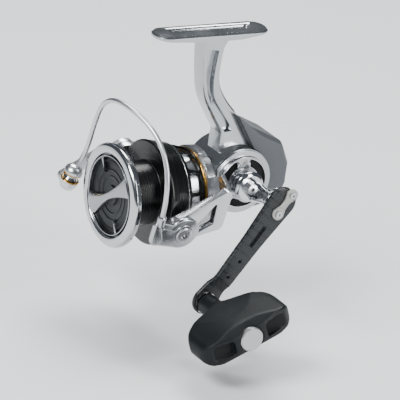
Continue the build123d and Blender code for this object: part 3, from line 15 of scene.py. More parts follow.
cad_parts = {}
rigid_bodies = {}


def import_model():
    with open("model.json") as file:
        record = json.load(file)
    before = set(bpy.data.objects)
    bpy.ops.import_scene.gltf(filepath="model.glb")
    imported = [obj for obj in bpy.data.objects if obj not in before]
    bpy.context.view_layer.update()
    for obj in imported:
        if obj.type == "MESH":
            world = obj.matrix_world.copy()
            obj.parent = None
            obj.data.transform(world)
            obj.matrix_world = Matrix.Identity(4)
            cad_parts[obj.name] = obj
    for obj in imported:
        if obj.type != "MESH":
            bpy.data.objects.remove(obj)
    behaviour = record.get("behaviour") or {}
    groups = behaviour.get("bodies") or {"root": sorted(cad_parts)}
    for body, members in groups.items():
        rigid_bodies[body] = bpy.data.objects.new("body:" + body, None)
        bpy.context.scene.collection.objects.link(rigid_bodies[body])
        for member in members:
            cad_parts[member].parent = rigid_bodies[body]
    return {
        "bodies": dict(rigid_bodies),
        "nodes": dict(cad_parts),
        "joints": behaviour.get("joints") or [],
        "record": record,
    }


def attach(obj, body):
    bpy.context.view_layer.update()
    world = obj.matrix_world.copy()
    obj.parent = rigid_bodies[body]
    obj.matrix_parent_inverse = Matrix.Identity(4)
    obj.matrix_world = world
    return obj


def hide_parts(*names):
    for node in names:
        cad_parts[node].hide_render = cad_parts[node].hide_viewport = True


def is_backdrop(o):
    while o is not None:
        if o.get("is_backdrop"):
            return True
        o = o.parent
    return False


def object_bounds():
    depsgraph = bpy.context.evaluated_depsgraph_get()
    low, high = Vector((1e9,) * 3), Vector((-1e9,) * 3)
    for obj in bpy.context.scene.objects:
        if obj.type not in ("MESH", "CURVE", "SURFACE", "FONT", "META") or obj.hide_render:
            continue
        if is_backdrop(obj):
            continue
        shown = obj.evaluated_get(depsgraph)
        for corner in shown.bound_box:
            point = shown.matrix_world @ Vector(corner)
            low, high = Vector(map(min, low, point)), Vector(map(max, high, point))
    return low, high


LOG = logging.getLogger("reel")
MM = 0.001
Array = np.ndarray
Piece = bpy.types.Object
Tree = bpy.types.NodeTree
Node = bpy.types.Node
Source = tuple[Node, str | int]
Values = dict[str | int, Any]
Frame = dict[str, Any]


# ---------------------------------------------------------------- places
@dataclass(frozen=True)
class Seat:
    """A place in the row frame, in millimetres, with three unit directions that carry local sizes."""

    origin: tuple[float, float, float]
    first: tuple[float, float, float]
    second: tuple[float, float, float]
    third: tuple[float, float, float]

    def at(self, u: Any, v: Any, w: Any) -> Array:
        """The origin plus u, v and w along the three directions, as whole arrays.

        Args:
            u: Distance along the first direction, a number or an array.
            v: Distance along the second.
            w: Distance along the third.

        Returns:
            The points, with a last axis of three.
        """
        u, v, w = np.broadcast_arrays(np.asarray(u, float), np.asarray(v, float), np.asarray(w, float))
        ways = np.array([self.first, self.second, self.third])
        return np.array(self.origin) + np.stack([u, v, w], axis=-1) @ ways


# turns of the bail's hinge line, the crank, the grip and the line roller
LEAN = math.radians(15.0)
CRANK_TURN = math.radians(234.5)
KNOB_TURN = math.radians(23.6)
ROLLER_TILT = math.radians(80.0)
# the spool's axis, its lip's front and the drive axis, in millimetres
AXIS_Z, LIP_Y, DRIVE_Y, DRIVE_Z = -83.4, -46.2, 21.6, -76.7
OUT = (math.cos(LEAN), 0.0, -math.sin(LEAN))
UP = (math.sin(LEAN), 0.0, math.cos(LEAN))
AHEAD = (0.0, -1.0, 0.0)
SPOOL_SEAT = Seat((0.0, LIP_Y, AXIS_Z), (1.0, 0.0, 0.0), (0.0, 0.0, 1.0), (0.0, 1.0, 0.0))
BAIL_SEAT = Seat((0.0, LIP_Y + 25.0, AXIS_Z), OUT, UP, AHEAD)
DRIVE_SEAT = Seat((0.0, DRIVE_Y, DRIVE_Z), (0.0, 1.0, 0.0), (0.0, 0.0, 1.0), (1.0, 0.0, 0.0))
CRANK_SEAT = Seat(
    (0.0, DRIVE_Y, DRIVE_Z),
    (0.0, math.cos(CRANK_TURN), math.sin(CRANK_TURN)),
    (0.0, -math.sin(CRANK_TURN), math.cos(CRANK_TURN)),
    (1.0, 0.0, 0.0),
)
KNOB_SEAT = Seat(
    tuple(CRANK_SEAT.at(57.7, -3.0, 0.0)),
    (0.0, math.cos(KNOB_TURN), math.sin(KNOB_TURN)),
    (0.0, -math.sin(KNOB_TURN), math.cos(KNOB_TURN)),
    (1.0, 0.0, 0.0),
)
ROLLER_WAY = np.array(AHEAD) * math.cos(ROLLER_TILT) - np.array(UP) * math.sin(ROLLER_TILT)
ROLLER_SEAT = Seat(
    tuple(BAIL_SEAT.at(-30.0, -10.0, 27.5)), OUT, tuple(np.cross(ROLLER_WAY, OUT)), tuple(ROLLER_WAY)
)


# ---------------------------------------------------------------- shapes from arrays
def rounded(
    corners: Sequence[tuple[float, float]], radius: float | Sequence[float], steps: int = 5
) -> Array:
    """A closed outline whose corners are eased.

    Each corner gives way to a quadratic curve that starts and ends a set length from it along its two
    sides, a length that is never more than 0.45 of the shorter side.

    Args:
        corners: The corners, in order.
        radius: The length cut back at each corner, one for all or one each.
        steps: Points on each corner's curve.

    Returns:
        The outline's points.
    """
    here = np.asarray(corners, float)
    before, after = np.roll(here, 1, axis=0) - here, np.roll(here, -1, axis=0) - here
    low, high = np.linalg.norm(before, axis=1), np.linalg.norm(after, axis=1)
    cut = np.minimum(np.broadcast_to(np.asarray(radius, float), low.shape), 0.45 * np.minimum(low, high))
    start = here + before / low[:, None] * cut[:, None]
    end = here + after / high[:, None] * cut[:, None]
    t = np.linspace(0.0, 1.0, steps)[None, :, None]
    curve = (1 - t) ** 2 * start[:, None] + 2 * t * (1 - t) * here[:, None] + t**2 * end[:, None]
    return curve.reshape(-1, 2)


def through(points: Sequence[Sequence[float]], samples: int) -> Array:
    """A smooth open line through points: a Catmull-Rom cubic between each pair, worked out as one array.

    Args:
        points: The points passed through, of any number of coordinates.
        samples: How many points to return, evenly spread over the spans.

    Returns:
        The line's points.
    """
    given = np.asarray(points, float)
    padded = np.vstack([2 * given[0] - given[1], given, 2 * given[-1] - given[-2]])
    place = np.linspace(0.0, len(given) - 1.0, samples)
    span = np.minimum(place.astype(int), len(given) - 2)
    t = (place - span)[:, None]
    a, b, c, d = (padded[span + n] for n in range(4))
    return 0.5 * (
        2 * b + (c - a) * t + (2 * a - 5 * b + 4 * c - d) * t**2 + (3 * b - a - 3 * c + d) * t**3
    )


def calm(path: Array, reach: int) -> Array:
    """Smooths a path with a raised-cosine window.

    Past each end the path is carried on by its own half turn about that end, so both ends stay put.

    Args:
        path: The places, in order.
        reach: How many places the window takes in on each side.

    Returns:
        As many places, smoothed.
    """
    window = np.hanning(2 * reach + 3)[1:-1]
    longer = np.vstack(
        [2 * path[:1] - path[reach:0:-1], path, 2 * path[-1:] - path[-2 : -2 - reach : -1]]
    )
    return np.stack([np.convolve(line, window / window.sum(), "valid") for line in longer.T], -1)


def mesh_object(name: str, points: Array, faces: Iterable[Sequence[int]]) -> Piece:
    """An object at the origin, its doubles merged and its faces turned outward.

    Args:
        name: The piece's name.
        points: Places in millimetres, in any grid that ends in three.
        faces: Corner indices of each face.

    Returns:
        The object.
    """
    mesh = bpy.data.meshes.new(name)
    mesh.from_pydata((points.reshape(-1, 3) * MM).tolist(), [], [list(map(int, face)) for face in faces])
    made = bmesh.new()
    made.from_mesh(mesh)
    bmesh.ops.remove_doubles(made, verts=made.verts, dist=2e-6)
    bmesh.ops.recalc_face_normals(made, faces=made.faces)
    made.to_mesh(mesh)
    made.free()
    piece = bpy.data.objects.new(name, mesh)
    bpy.context.scene.collection.objects.link(piece)
    smooth(piece)
    return piece


def smooth(piece: Piece, angle: float = 32.0) -> None:
    """Shades a piece smoothly but for the edges where faces meet at more than an angle in degrees."""
    piece.data.shade_smooth()
    piece.data.set_sharp_from_angle(angle=math.radians(angle))


def grid_faces(rows: int, columns: int, wrap_rows: bool, wrap_columns: bool) -> Array:
    """The four corners of every cell of a grid of points, as indices.

    Args:
        rows: Rows of points.
        columns: Points in a row.
        wrap_rows: Whether the last row joins the first.
        wrap_columns: Whether the last column joins the first.

    Returns:
        One row of four indices for each cell.
    """
    i = np.arange(rows if wrap_rows else rows - 1)[:, None]
    j = np.arange(columns if wrap_columns else columns - 1)[None, :]
    i2, j2 = (i + 1) % rows, (j + 1) % columns
    cells = np.stack(
        np.broadcast_arrays(i * columns + j, i2 * columns + j, i2 * columns + j2, i * columns + j2)
    )
    return cells.reshape(4, -1).T


def surface(
    name: str, grid: Array, wrap_rows: bool = False, wrap_columns: bool = False, capped: bool = False
) -> Piece:
    """A surface from a grid of points.

    Args:
        name: The piece's name.
        grid: Points in millimetres, rows by columns by three.
        wrap_rows: Whether the last row joins the first.
        wrap_columns: Whether the last column joins the first.
        capped: Whether the first and last rows are closed with one face each.

    Returns:
        The object.
    """
    rows, columns = grid.shape[:2]
    faces = grid_faces(rows, columns, wrap_rows, wrap_columns).tolist()
    if capped:
        faces += [list(range(columns)), list(range((rows - 1) * columns, rows * columns))]
    return mesh_object(name, grid, faces)


def lathe(name: str, seat: Seat, profile: Array, turns: int = 144) -> Piece:
    """A closed profile of (distance along the axis, radius) carried once round the seat's third direction.

    The point at turn t and profile place (s, r) is r cos t along the first direction, r sin t along the
    second and s along the third. A profile that starts on the axis ends on it too, and makes poles there.

    Args:
        name: The piece's name.
        seat: Where the axis runs, along its third direction.
        profile: Rows of place and radius, in order round the section.
        turns: Steps round the axis.

    Returns:
        The object.
    """
    angle = np.linspace(0.0, 2 * math.pi, turns, endpoint=False)[:, None]
    s, r = profile[None, :, 0], np.maximum(profile[None, :, 1], 0.0)
    hollow = bool(profile[0, 1] > 1e-6)
    return surface(name, seat.at(r * np.cos(angle), r * np.sin(angle), s + 0 * angle), True, hollow)


def tube(name: str, path: Array, radius: Array, level: Sequence[float], sides: int = 28) -> Piece:
    """A round section carried along a path, closed at both ends.

    Each section lies across the path, with its first direction as near to the level direction as that
    allows, so the point at turn t is the path's point plus radius times (cos t, sin t) in that section.

    Args:
        name: The piece's name.
        path: The middle line, in millimetres.
        radius: The radius at each of its points.
        level: A direction that the line never runs along.
        sides: Points round each section.

    Returns:
        The object.
    """
    along = np.gradient(path, axis=0)
    along /= np.linalg.norm(along, axis=1, keepdims=True)
    side = np.cross(along, np.asarray(level, float))
    side /= np.linalg.norm(side, axis=1, keepdims=True)
    rise = np.cross(side, along)
    angle = np.linspace(0.0, 2 * math.pi, sides, endpoint=False)[None, :, None]
    ring = side[:, None] * np.cos(angle) + rise[:, None] * np.sin(angle)
    return surface(name, path[:, None] + ring * radius[:, None, None], False, True, True)


def inset(outline: Array, amount: Array | float) -> Array:
    """An outline moved inward along the mean of the normals of each point's two sides.

    Args:
        outline: The outline's points.
        amount: How far, one for all or one for each point.

    Returns:
        The moved points.
    """
    side = np.roll(outline, -1, axis=0) - outline
    side /= np.maximum(np.linalg.norm(side, axis=1, keepdims=True), 1e-9)
    mean = side + np.roll(side, 1, axis=0)
    mean /= np.maximum(np.linalg.norm(mean, axis=1, keepdims=True), 1e-9)
    area = np.sum(outline[:, 0] * np.roll(outline[:, 1], -1) - outline[:, 1] * np.roll(outline[:, 0], -1))
    normal = np.stack([-mean[:, 1], mean[:, 0]], axis=-1) * np.sign(area)
    return outline + normal * amount


def plate(
    name: str, seat: Seat, outline: Array, low: float, high: float, edge: float, crown: float = 0.0
) -> Piece:
    """A flat outline given thickness, with rounded edges and, where asked, a crowned face.

    The side rises from low to high in rows; the first and last rows move inward along a quarter circle
    of the edge's radius. A crown adds rings that go on inward while the height grows as a cosine.

    Args:
        name: The piece's name.
        seat: Local directions; thickness runs along the third.
        outline: Points in the first two directions.
        low: Height of the rear face.
        high: Height of the front face's edge.
        edge: Radius of the rounded edges.
        crown: Extra height at the middle of the front face.

    Returns:
        The object.
    """
    turn = np.linspace(0.0, math.pi / 2, 5)
    inward = np.concatenate([edge * (1 - np.sin(turn)), edge * (1 - np.cos(turn))])
    height = np.concatenate([low + edge * (1 - np.cos(turn)), high - edge + edge * np.sin(turn)])
    rows = [inset(outline, amount) for amount in inward]
    if crown:
        middle = rows[-1].mean(axis=0)
        shares = np.linspace(0.0, 1.0, 8)[1:-1]
        rows += [rows[-1] + (middle - rows[-1]) * share for share in shares]
        height = np.concatenate([height, high + crown * np.sin(shares * math.pi / 2)])
    flat = np.stack(rows)
    return surface(name, seat.at(flat[..., 0], flat[..., 1], height[:, None]), False, True, True)


def hull_outline(circles: Sequence[tuple[float, float, float]], samples: int = 160) -> Array:
    """The outline of a belt drawn tight round circles.

    For every direction the belt's distance is the largest of centre dot direction plus radius; the
    outline's point is that circle's centre plus its radius along the direction.

    Args:
        circles: Rows of centre and radius.
        samples: Directions tried, evenly round.

    Returns:
        The outline's points.
    """
    angle = np.linspace(0.0, 2 * math.pi, samples, endpoint=False)
    way = np.stack([np.cos(angle), np.sin(angle)], axis=-1)
    given = np.asarray(circles, float)
    reach = way @ given[:, :2].T + given[:, 2]
    chosen = given[np.argmax(reach, axis=1)]
    return chosen[:, :2] + way * chosen[:, 2:3]


def joined(name: str, parts: Sequence[Piece]) -> Piece:
    """Several objects made one, with their meshes kept as separate shells.

    Args:
        name: The new piece's name.
        parts: The objects, which are used up.

    Returns:
        The one object.
    """
    made = bmesh.new()
    for part in parts:
        made.from_mesh(part.data)
        bpy.data.objects.remove(part)
    mesh = bpy.data.meshes.new(name)
    made.to_mesh(mesh)
    made.free()
    piece = bpy.data.objects.new(name, mesh)
    bpy.context.scene.collection.objects.link(piece)
    smooth(piece)
    return piece


def cut(piece: Piece, cutter: Piece) -> None:
    """Takes the cutter's space out of a piece for good.

    Args:
        piece: The piece, changed in place.
        cutter: A closed object, which is used up.
    """
    tool = piece.modifiers.new("cut", "BOOLEAN")
    tool.operation, tool.solver, tool.object = "DIFFERENCE", "EXACT", cutter
    settle(piece)
    bpy.data.objects.remove(cutter)
    smooth(piece)


def settle(piece: Piece) -> None:
    """Makes a piece's modifiers part of its mesh."""
    shaped = bpy.data.meshes.new_from_object(piece.evaluated_get(bpy.context.evaluated_depsgraph_get()))
    piece.modifiers.clear()
    piece.data = shaped


def copy_of(node: str, name: str, frame: Frame) -> Piece:
    """A copy of a frame node's mesh with its doubles merged and its flat faces joined up.

    Args:
        node: The frame node's name.
        name: The copy's name.
        frame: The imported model.

    Returns:
        The copy.
    """
    made = bmesh.new()
    made.from_mesh(frame["nodes"][node].data)
    bmesh.ops.remove_doubles(made, verts=made.verts, dist=1e-6)
    bmesh.ops.dissolve_limit(made, angle_limit=math.radians(1.0), verts=made.verts, edges=made.edges)
    mesh = bpy.data.meshes.new(name)
    made.to_mesh(mesh)
    made.free()
    piece = bpy.data.objects.new(name, mesh)
    bpy.context.scene.collection.objects.link(piece)
    return piece


def eased(node: str, name: str, frame: Frame, width: float, angle: float = 28.0) -> Piece:
    """A copy of a frame node with every sharp edge rounded.

    Args:
        node: The frame node's name.
        name: The copy's name.
        frame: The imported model.
        width: Width of the rounding, in millimetres.
        angle: Edges sharper than this, in degrees, are rounded.

    Returns:
        The copy.
    """
    piece = copy_of(node, name, frame)
    edge = piece.modifiers.new("edge", "BEVEL")
    edge.width, edge.segments, edge.limit_method = width * MM, 3, "ANGLE"
    edge.angle_limit, edge.use_clamp_overlap = math.radians(angle), True
    edge.harden_normals = False
    settle(piece)
    smooth(piece, 30.0)
    return piece


# ---------------------------------------------------------------- finishes
def linear(code: str) -> tuple[float, float, float, float]:
    """An sRGB hex colour as linear red, green, blue and one, by the sRGB transfer curve."""
    share = [int(code[n : n + 2], 16) / 255 for n in (1, 3, 5)]
    return (*(c / 12.92 if c <= 0.04045 else ((c + 0.055) / 1.055) ** 2.4 for c in share), 1.0)


def add(
    tree: Tree, kind: str, settings: dict[str, Any] | None = None,
    links: dict[str | int, Source] | None = None, inputs: Values | None = None,
) -> Node:
    """Adds one node.

    Args:
        tree: The tree it joins.
        kind: Its type name.
        settings: Its own properties.
        links: For each of its inputs, the node and output that feed it.
        inputs: Values for its unlinked inputs.

    Returns:
        The node.
    """
    node = tree.nodes.new(kind)
    for key, value in (settings or {}).items():
        setattr(node, key, value)
    for key, value in (inputs or {}).items():
        node.inputs[key].default_value = value
    for key, (source, output) in (links or {}).items():
        tree.links.new(source.outputs[output], node.inputs[key])
    return node


NOISE, MATHS = "ShaderNodeTexNoise", "ShaderNodeMath"
NOISE_FINE = {"Detail": 3.0, "Roughness": 0.55}
NOISE_SOFT = {"Detail": 2.0, "Roughness": 0.55}
NOISE_FIBROUS = {"Detail": 5.0, "Roughness": 0.55}


@dataclass(frozen=True)
class Finish:
    """What a surface is made of and how it was made; the base is a smooth moulded surface.

    Depth is the height of its relief in millimetres, and spread the whole range of its roughness.
    """

    name: str
    colour: str
    metallic: float = 0.0
    roughness: float = 0.5
    coat: float = 0.0
    grain_mm: float = 0.35
    depth: float = 0.05
    spread: float = 0.12
    drift_mm: float = 9.0
    shade: float = 0.10
    gloss: float = 0.5

    def build(self) -> bpy.types.Material:
        """Makes the material, or hands back the one already made under this name."""
        if self.name in bpy.data.materials:
            return bpy.data.materials[self.name]
        material = bpy.data.materials.new(self.name)
        material.use_nodes = True
        tree = material.node_tree
        tree.nodes.clear()
        values = {
            "Metallic": self.metallic, "Roughness": self.roughness, "Coat Weight": self.coat,
            "Coat Roughness": 0.08, "Base Color": linear(self.colour), "Specular IOR Level": self.gloss,
        }
        shader = add(tree, "ShaderNodeBsdfPrincipled", inputs=values)
        add(tree, "ShaderNodeOutputMaterial", links={"Surface": (shader, "BSDF")})
        place = add(tree, "ShaderNodeTexCoord")
        self.dress(tree, shader, place)
        material.diffuse_color = linear(self.colour)
        return material

    def dress(self, tree: Tree, shader: Node, place: Node) -> None:
        """Fine grain of the mould: a bump of grain_mm and a slow drift of roughness and colour.

        Args:
            tree: The material's nodes.
            shader: Its shader.
            place: The node that gives Object coordinates.
        """
        grain, drift = (
            add(tree, NOISE, None, {"Vector": (place, "Object")}, {"Scale": 1.0 / (size * MM), **detail})
            for size, detail in ((self.grain_mm, NOISE_FINE), (self.drift_mm, NOISE_SOFT))
        )
        self.tint(tree, shader, (drift, "Fac"))
        self.relief(tree, shader, (drift, "Fac"), (grain, "Fac"))

    def tint(self, tree: Tree, shader: Node, tone: Source) -> None:
        """Lets the colour run from 1 - shade of itself to the whole as a tone rises from 0 to 1.

        Args:
            tree: The material's nodes.
            shader: Its shader.
            tone: The output that drives it.
        """
        share = add(
            tree, "ShaderNodeMapRange", None, {"Value": tone}, {"To Min": 1.0 - self.shade, "To Max": 1.0}
        )
        mixed = add(
            tree, "ShaderNodeMix", {"data_type": "RGBA", "blend_type": "MULTIPLY"},
            {7: (share, "Result")}, {"Factor": 1.0, 6: linear(self.colour)},
        )
        tree.links.new(mixed.outputs[2], shader.inputs["Base Color"])

    def relief(self, tree: Tree, shader: Node, tone: Source, height: Source) -> None:
        """Lets a tone move the roughness either side of its own value, and a height tilt the surface.

        Args:
            tree: The material's nodes.
            shader: Its shader.
            tone: The output that drives the roughness.
            height: The output that drives the height.
        """
        if self.spread:
            reach = self.spread / 2
            low, high = max(self.roughness - reach, 0.02), min(self.roughness + reach, 1.0)
            span = {"From Min": 0.3, "From Max": 0.7, "To Min": low, "To Max": high}
            drift = add(tree, "ShaderNodeMapRange", None, {"Value": tone}, span)
            tree.links.new(drift.outputs["Result"], shader.inputs["Roughness"])
        bump = add(
            tree, "ShaderNodeBump", None, {"Height": height},
            {"Strength": 1.0, "Distance": self.depth * MM},
        )
        tree.links.new(bump.outputs["Normal"], shader.inputs["Normal"])


@dataclass(frozen=True)
class FlakePaint(Finish):
    """Silver lacquer over a die casting: small bright flakes under a clear coat."""

    depth: float = 0.002
    spread: float = 0.10
    # real flakes are a tenth of this; drawn this coarse so that they show
    flake_mm: float = 0.22
    wide_mm: float = 14.0
    sparkle: float = 0.35

    def dress(self, tree: Tree, shader: Node, place: Node) -> None:
        """Voronoi cells of the flake's size change the tone from cell to cell; the coat is even.

        Args:
            tree: The material's nodes.
            shader: Its shader.
            place: The node that gives Object coordinates.
        """
        cells = add(
            tree, "ShaderNodeTexVoronoi", links={"Vector": (place, "Object")},
            inputs={"Scale": 1.0 / (self.flake_mm * MM)},
        )
        drift = add(
            tree, NOISE, None, {"Vector": (place, "Object")},
            {"Scale": 1.0 / (self.wide_mm * MM), **NOISE_SOFT},
        )
        both = add(
            tree, MATHS, {"operation": "MULTIPLY_ADD"}, links={0: (cells, "Color"), 2: (drift, "Fac")},
            inputs={1: self.sparkle},
        )
        self.tint(tree, shader, (both, "Value"))
        self.relief(tree, shader, (drift, "Fac"), (cells, "Distance"))


@dataclass(frozen=True)
class BrushedMetal(Finish):
    """Metal finished with a belt: fine scratches that all run one way."""

    depth: float = 0.0015
    spread: float = 0.08
    way: tuple[float, float, float] = (0.0, 1.0, 0.0)
    # a belt's scratches are some 0.03 mm wide; drawn this coarse so that they show
    line_mm: float = 0.16
    draw_out: float = 0.03

    def dress(self, tree: Tree, shader: Node, place: Node) -> None:
        """Noise drawn out some thirty times along the brushing, so each cell is a scratch.

        Args:
            tree: The material's nodes.
            shader: Its shader.
            place: The node that gives Object coordinates.
        """
        turn = Vector((1.0, 0.0, 0.0)).rotation_difference(Vector(self.way)).to_euler()
        back = add(
            tree, "ShaderNodeMapping", {"vector_type": "TEXTURE"}, {"Vector": (place, "Object")},
            {"Rotation": turn},
        )
        thin = add(
            tree, "ShaderNodeMapping", None, {"Vector": (back, "Vector")},
            {"Scale": (self.draw_out, 1.0, 1.0)},
        )
        lines = add(
            tree, NOISE, None, {"Vector": (thin, "Vector")},
            {"Scale": 1.0 / (self.line_mm * MM), **NOISE_FINE},
        )
        self.tint(tree, shader, (lines, "Fac"))
        self.relief(tree, shader, (lines, "Fac"), (lines, "Fac"))


@dataclass(frozen=True)
class TurnedMetal(Finish):
    """Metal turned on a lathe, bare or coated: fine rings about the piece's own axis."""

    depth: float = 0.004
    centre: tuple[float, float, float] = (0.0, 0.0, 0.0)
    across: tuple[float, float, float] = (1.0, 0.0, 1.0)
    # a fine turning feed is some 0.08 mm a turn; drawn this coarse so that it shows
    ring_mm: float = 0.22

    def dress(self, tree: Tree, shader: Node, place: Node) -> None:
        """The distance from the axis, and along it, picks a tone from noise, so tones run round in rings.

        Args:
            tree: The material's nodes.
            shader: Its shader.
            place: The node that gives Object coordinates.
        """
        here = add(
            tree, "ShaderNodeVectorMath", {"operation": "SUBTRACT"}, {0: (place, "Object")},
            {1: tuple(c * MM for c in self.centre)},
        )
        flat = add(
            tree, "ShaderNodeVectorMath", {"operation": "MULTIPLY"}, {0: (here, "Vector")},
            {1: self.across},
        )
        far = add(tree, "ShaderNodeVectorMath", {"operation": "LENGTH"}, {0: (flat, "Vector")})
        along = add(
            tree, "ShaderNodeVectorMath", {"operation": "DOT_PRODUCT"}, {0: (here, "Vector")},
            {1: tuple(1.0 - c for c in self.across)},
        )
        pair = add(tree, "ShaderNodeCombineXYZ", None, {"X": (far, "Value"), "Y": (along, "Value")})
        rings = add(
            tree, NOISE, None, {"Vector": (pair, "Vector")},
            {"Scale": 1.0 / (self.ring_mm * MM), **NOISE_FINE},
        )
        self.tint(tree, shader, (rings, "Fac"))
        self.relief(tree, shader, (rings, "Fac"), (rings, "Fac"))


@dataclass(frozen=True)
class CarbonTwill(Finish):
    """Carbon cloth in resin: three-over-one twill, its tows drawn 1.5 mm wide so that they show."""

    depth: float = 0.012
    spread: float = 0.14
    tow_mm: float = 1.5
    tones: tuple[tuple[float, str], ...] = ((0.0, "#17191b"), (0.5, "#1e2022"), (1.0, "#2a2d30"))

    def dress(self, tree: Tree, shader: Node, place: Node) -> None:
        """Weft where the whole parts of u and v add up to a multiple of four, warp everywhere else.

        u and v are distances along the two runs of the cloth, at 45 degrees to the crank, counted in tows;
        each tow's colour is also lightened towards its middle by its distance to the nearer edge, a painted
        highlight of a rounded strip, and that distance drives its bump too.

        Args:
            tree: The material's nodes.
            shader: Its shader.
            place: The node that gives Object coordinates.
        """
        lie = {"Rotation": (-CRANK_TURN + math.pi / 4, 0.0, 0.0)}
        local = add(
            tree, "ShaderNodeMapping", {"vector_type": "POINT"}, {"Vector": (place, "Object")}, lie
        )
        parts = add(tree, "ShaderNodeSeparateXYZ", None, {"Vector": (local, "Vector")})
        tows = 1.0 / (self.tow_mm * MM)
        whole, wave = [], []
        for way in ("Y", "Z"):
            count = add(tree, MATHS, {"operation": "MULTIPLY"}, {0: (parts, way)}, {1: tows})
            whole.append(add(tree, MATHS, {"operation": "FLOOR"}, {0: (count, "Value")}))
            wave.append(add(tree, MATHS, {"operation": "PINGPONG"}, {0: (count, "Value")}, {1: 0.5}))
        total = add(
            tree, MATHS, {"operation": "ADD"}, {n: (node, "Value") for n, node in enumerate(whole)}
        )
        quarter = add(tree, MATHS, {"operation": "PINGPONG"}, {0: (total, "Value")}, {1: 2.0})
        over = add(tree, MATHS, {"operation": "GREATER_THAN"}, {0: (quarter, "Value")}, {1: 0.9})
        sides = {"Factor": (over, "Value"), 2: (wave[0], "Value"), 3: (wave[1], "Value")}
        strip = add(tree, "ShaderNodeMix", {"data_type": "FLOAT"}, sides)
        # painted highlight: the tone adds each tow's rise, so every tow is lighter towards its middle; the
        # weft's half step over the warp draws the weave
        tone = add(
            tree, MATHS, {"operation": "MULTIPLY_ADD"}, {0: (over, "Value"), 2: (strip, 0)}, {1: 0.5}
        )
        colour = add(tree, "ShaderNodeValToRGB", None, {"Fac": (tone, "Value")})
        band = colour.color_ramp.elements
        band.new(0.5)
        for element, (spot, code) in zip(band, self.tones):
            element.position, element.color = spot, linear(code)
        tree.links.new(colour.outputs["Color"], shader.inputs["Base Color"])
        self.relief(tree, shader, (tone, "Value"), (strip, 0))


@dataclass(frozen=True)
class PressedFelt(Finish):
    """Felt: short fibres lying every way."""

    depth: float = 0.12
    spread: float = 0.0
    # wool fibres are a tenth of this; drawn this coarse so that they show
    fibre_mm: float = 0.2

    def dress(self, tree: Tree, shader: Node, place: Node) -> None:
        """Noise of the fibres' size, with finer noise on it, drives both tone and height.

        Args:
            tree: The material's nodes.
            shader: Its shader.
            place: The node that gives Object coordinates.
        """
        fibres = add(
            tree, NOISE, None, {"Vector": (place, "Object")},
            {"Scale": 1.0 / (self.fibre_mm * MM), **NOISE_FIBROUS},
        )
        self.tint(tree, shader, (fibres, "Fac"))
        self.relief(tree, shader, (fibres, "Fac"), (fibres, "Fac"))


AXLE = (0.0, 0.0, AXIS_Z)
HUB = (0.0, DRIVE_Y, DRIVE_Z)


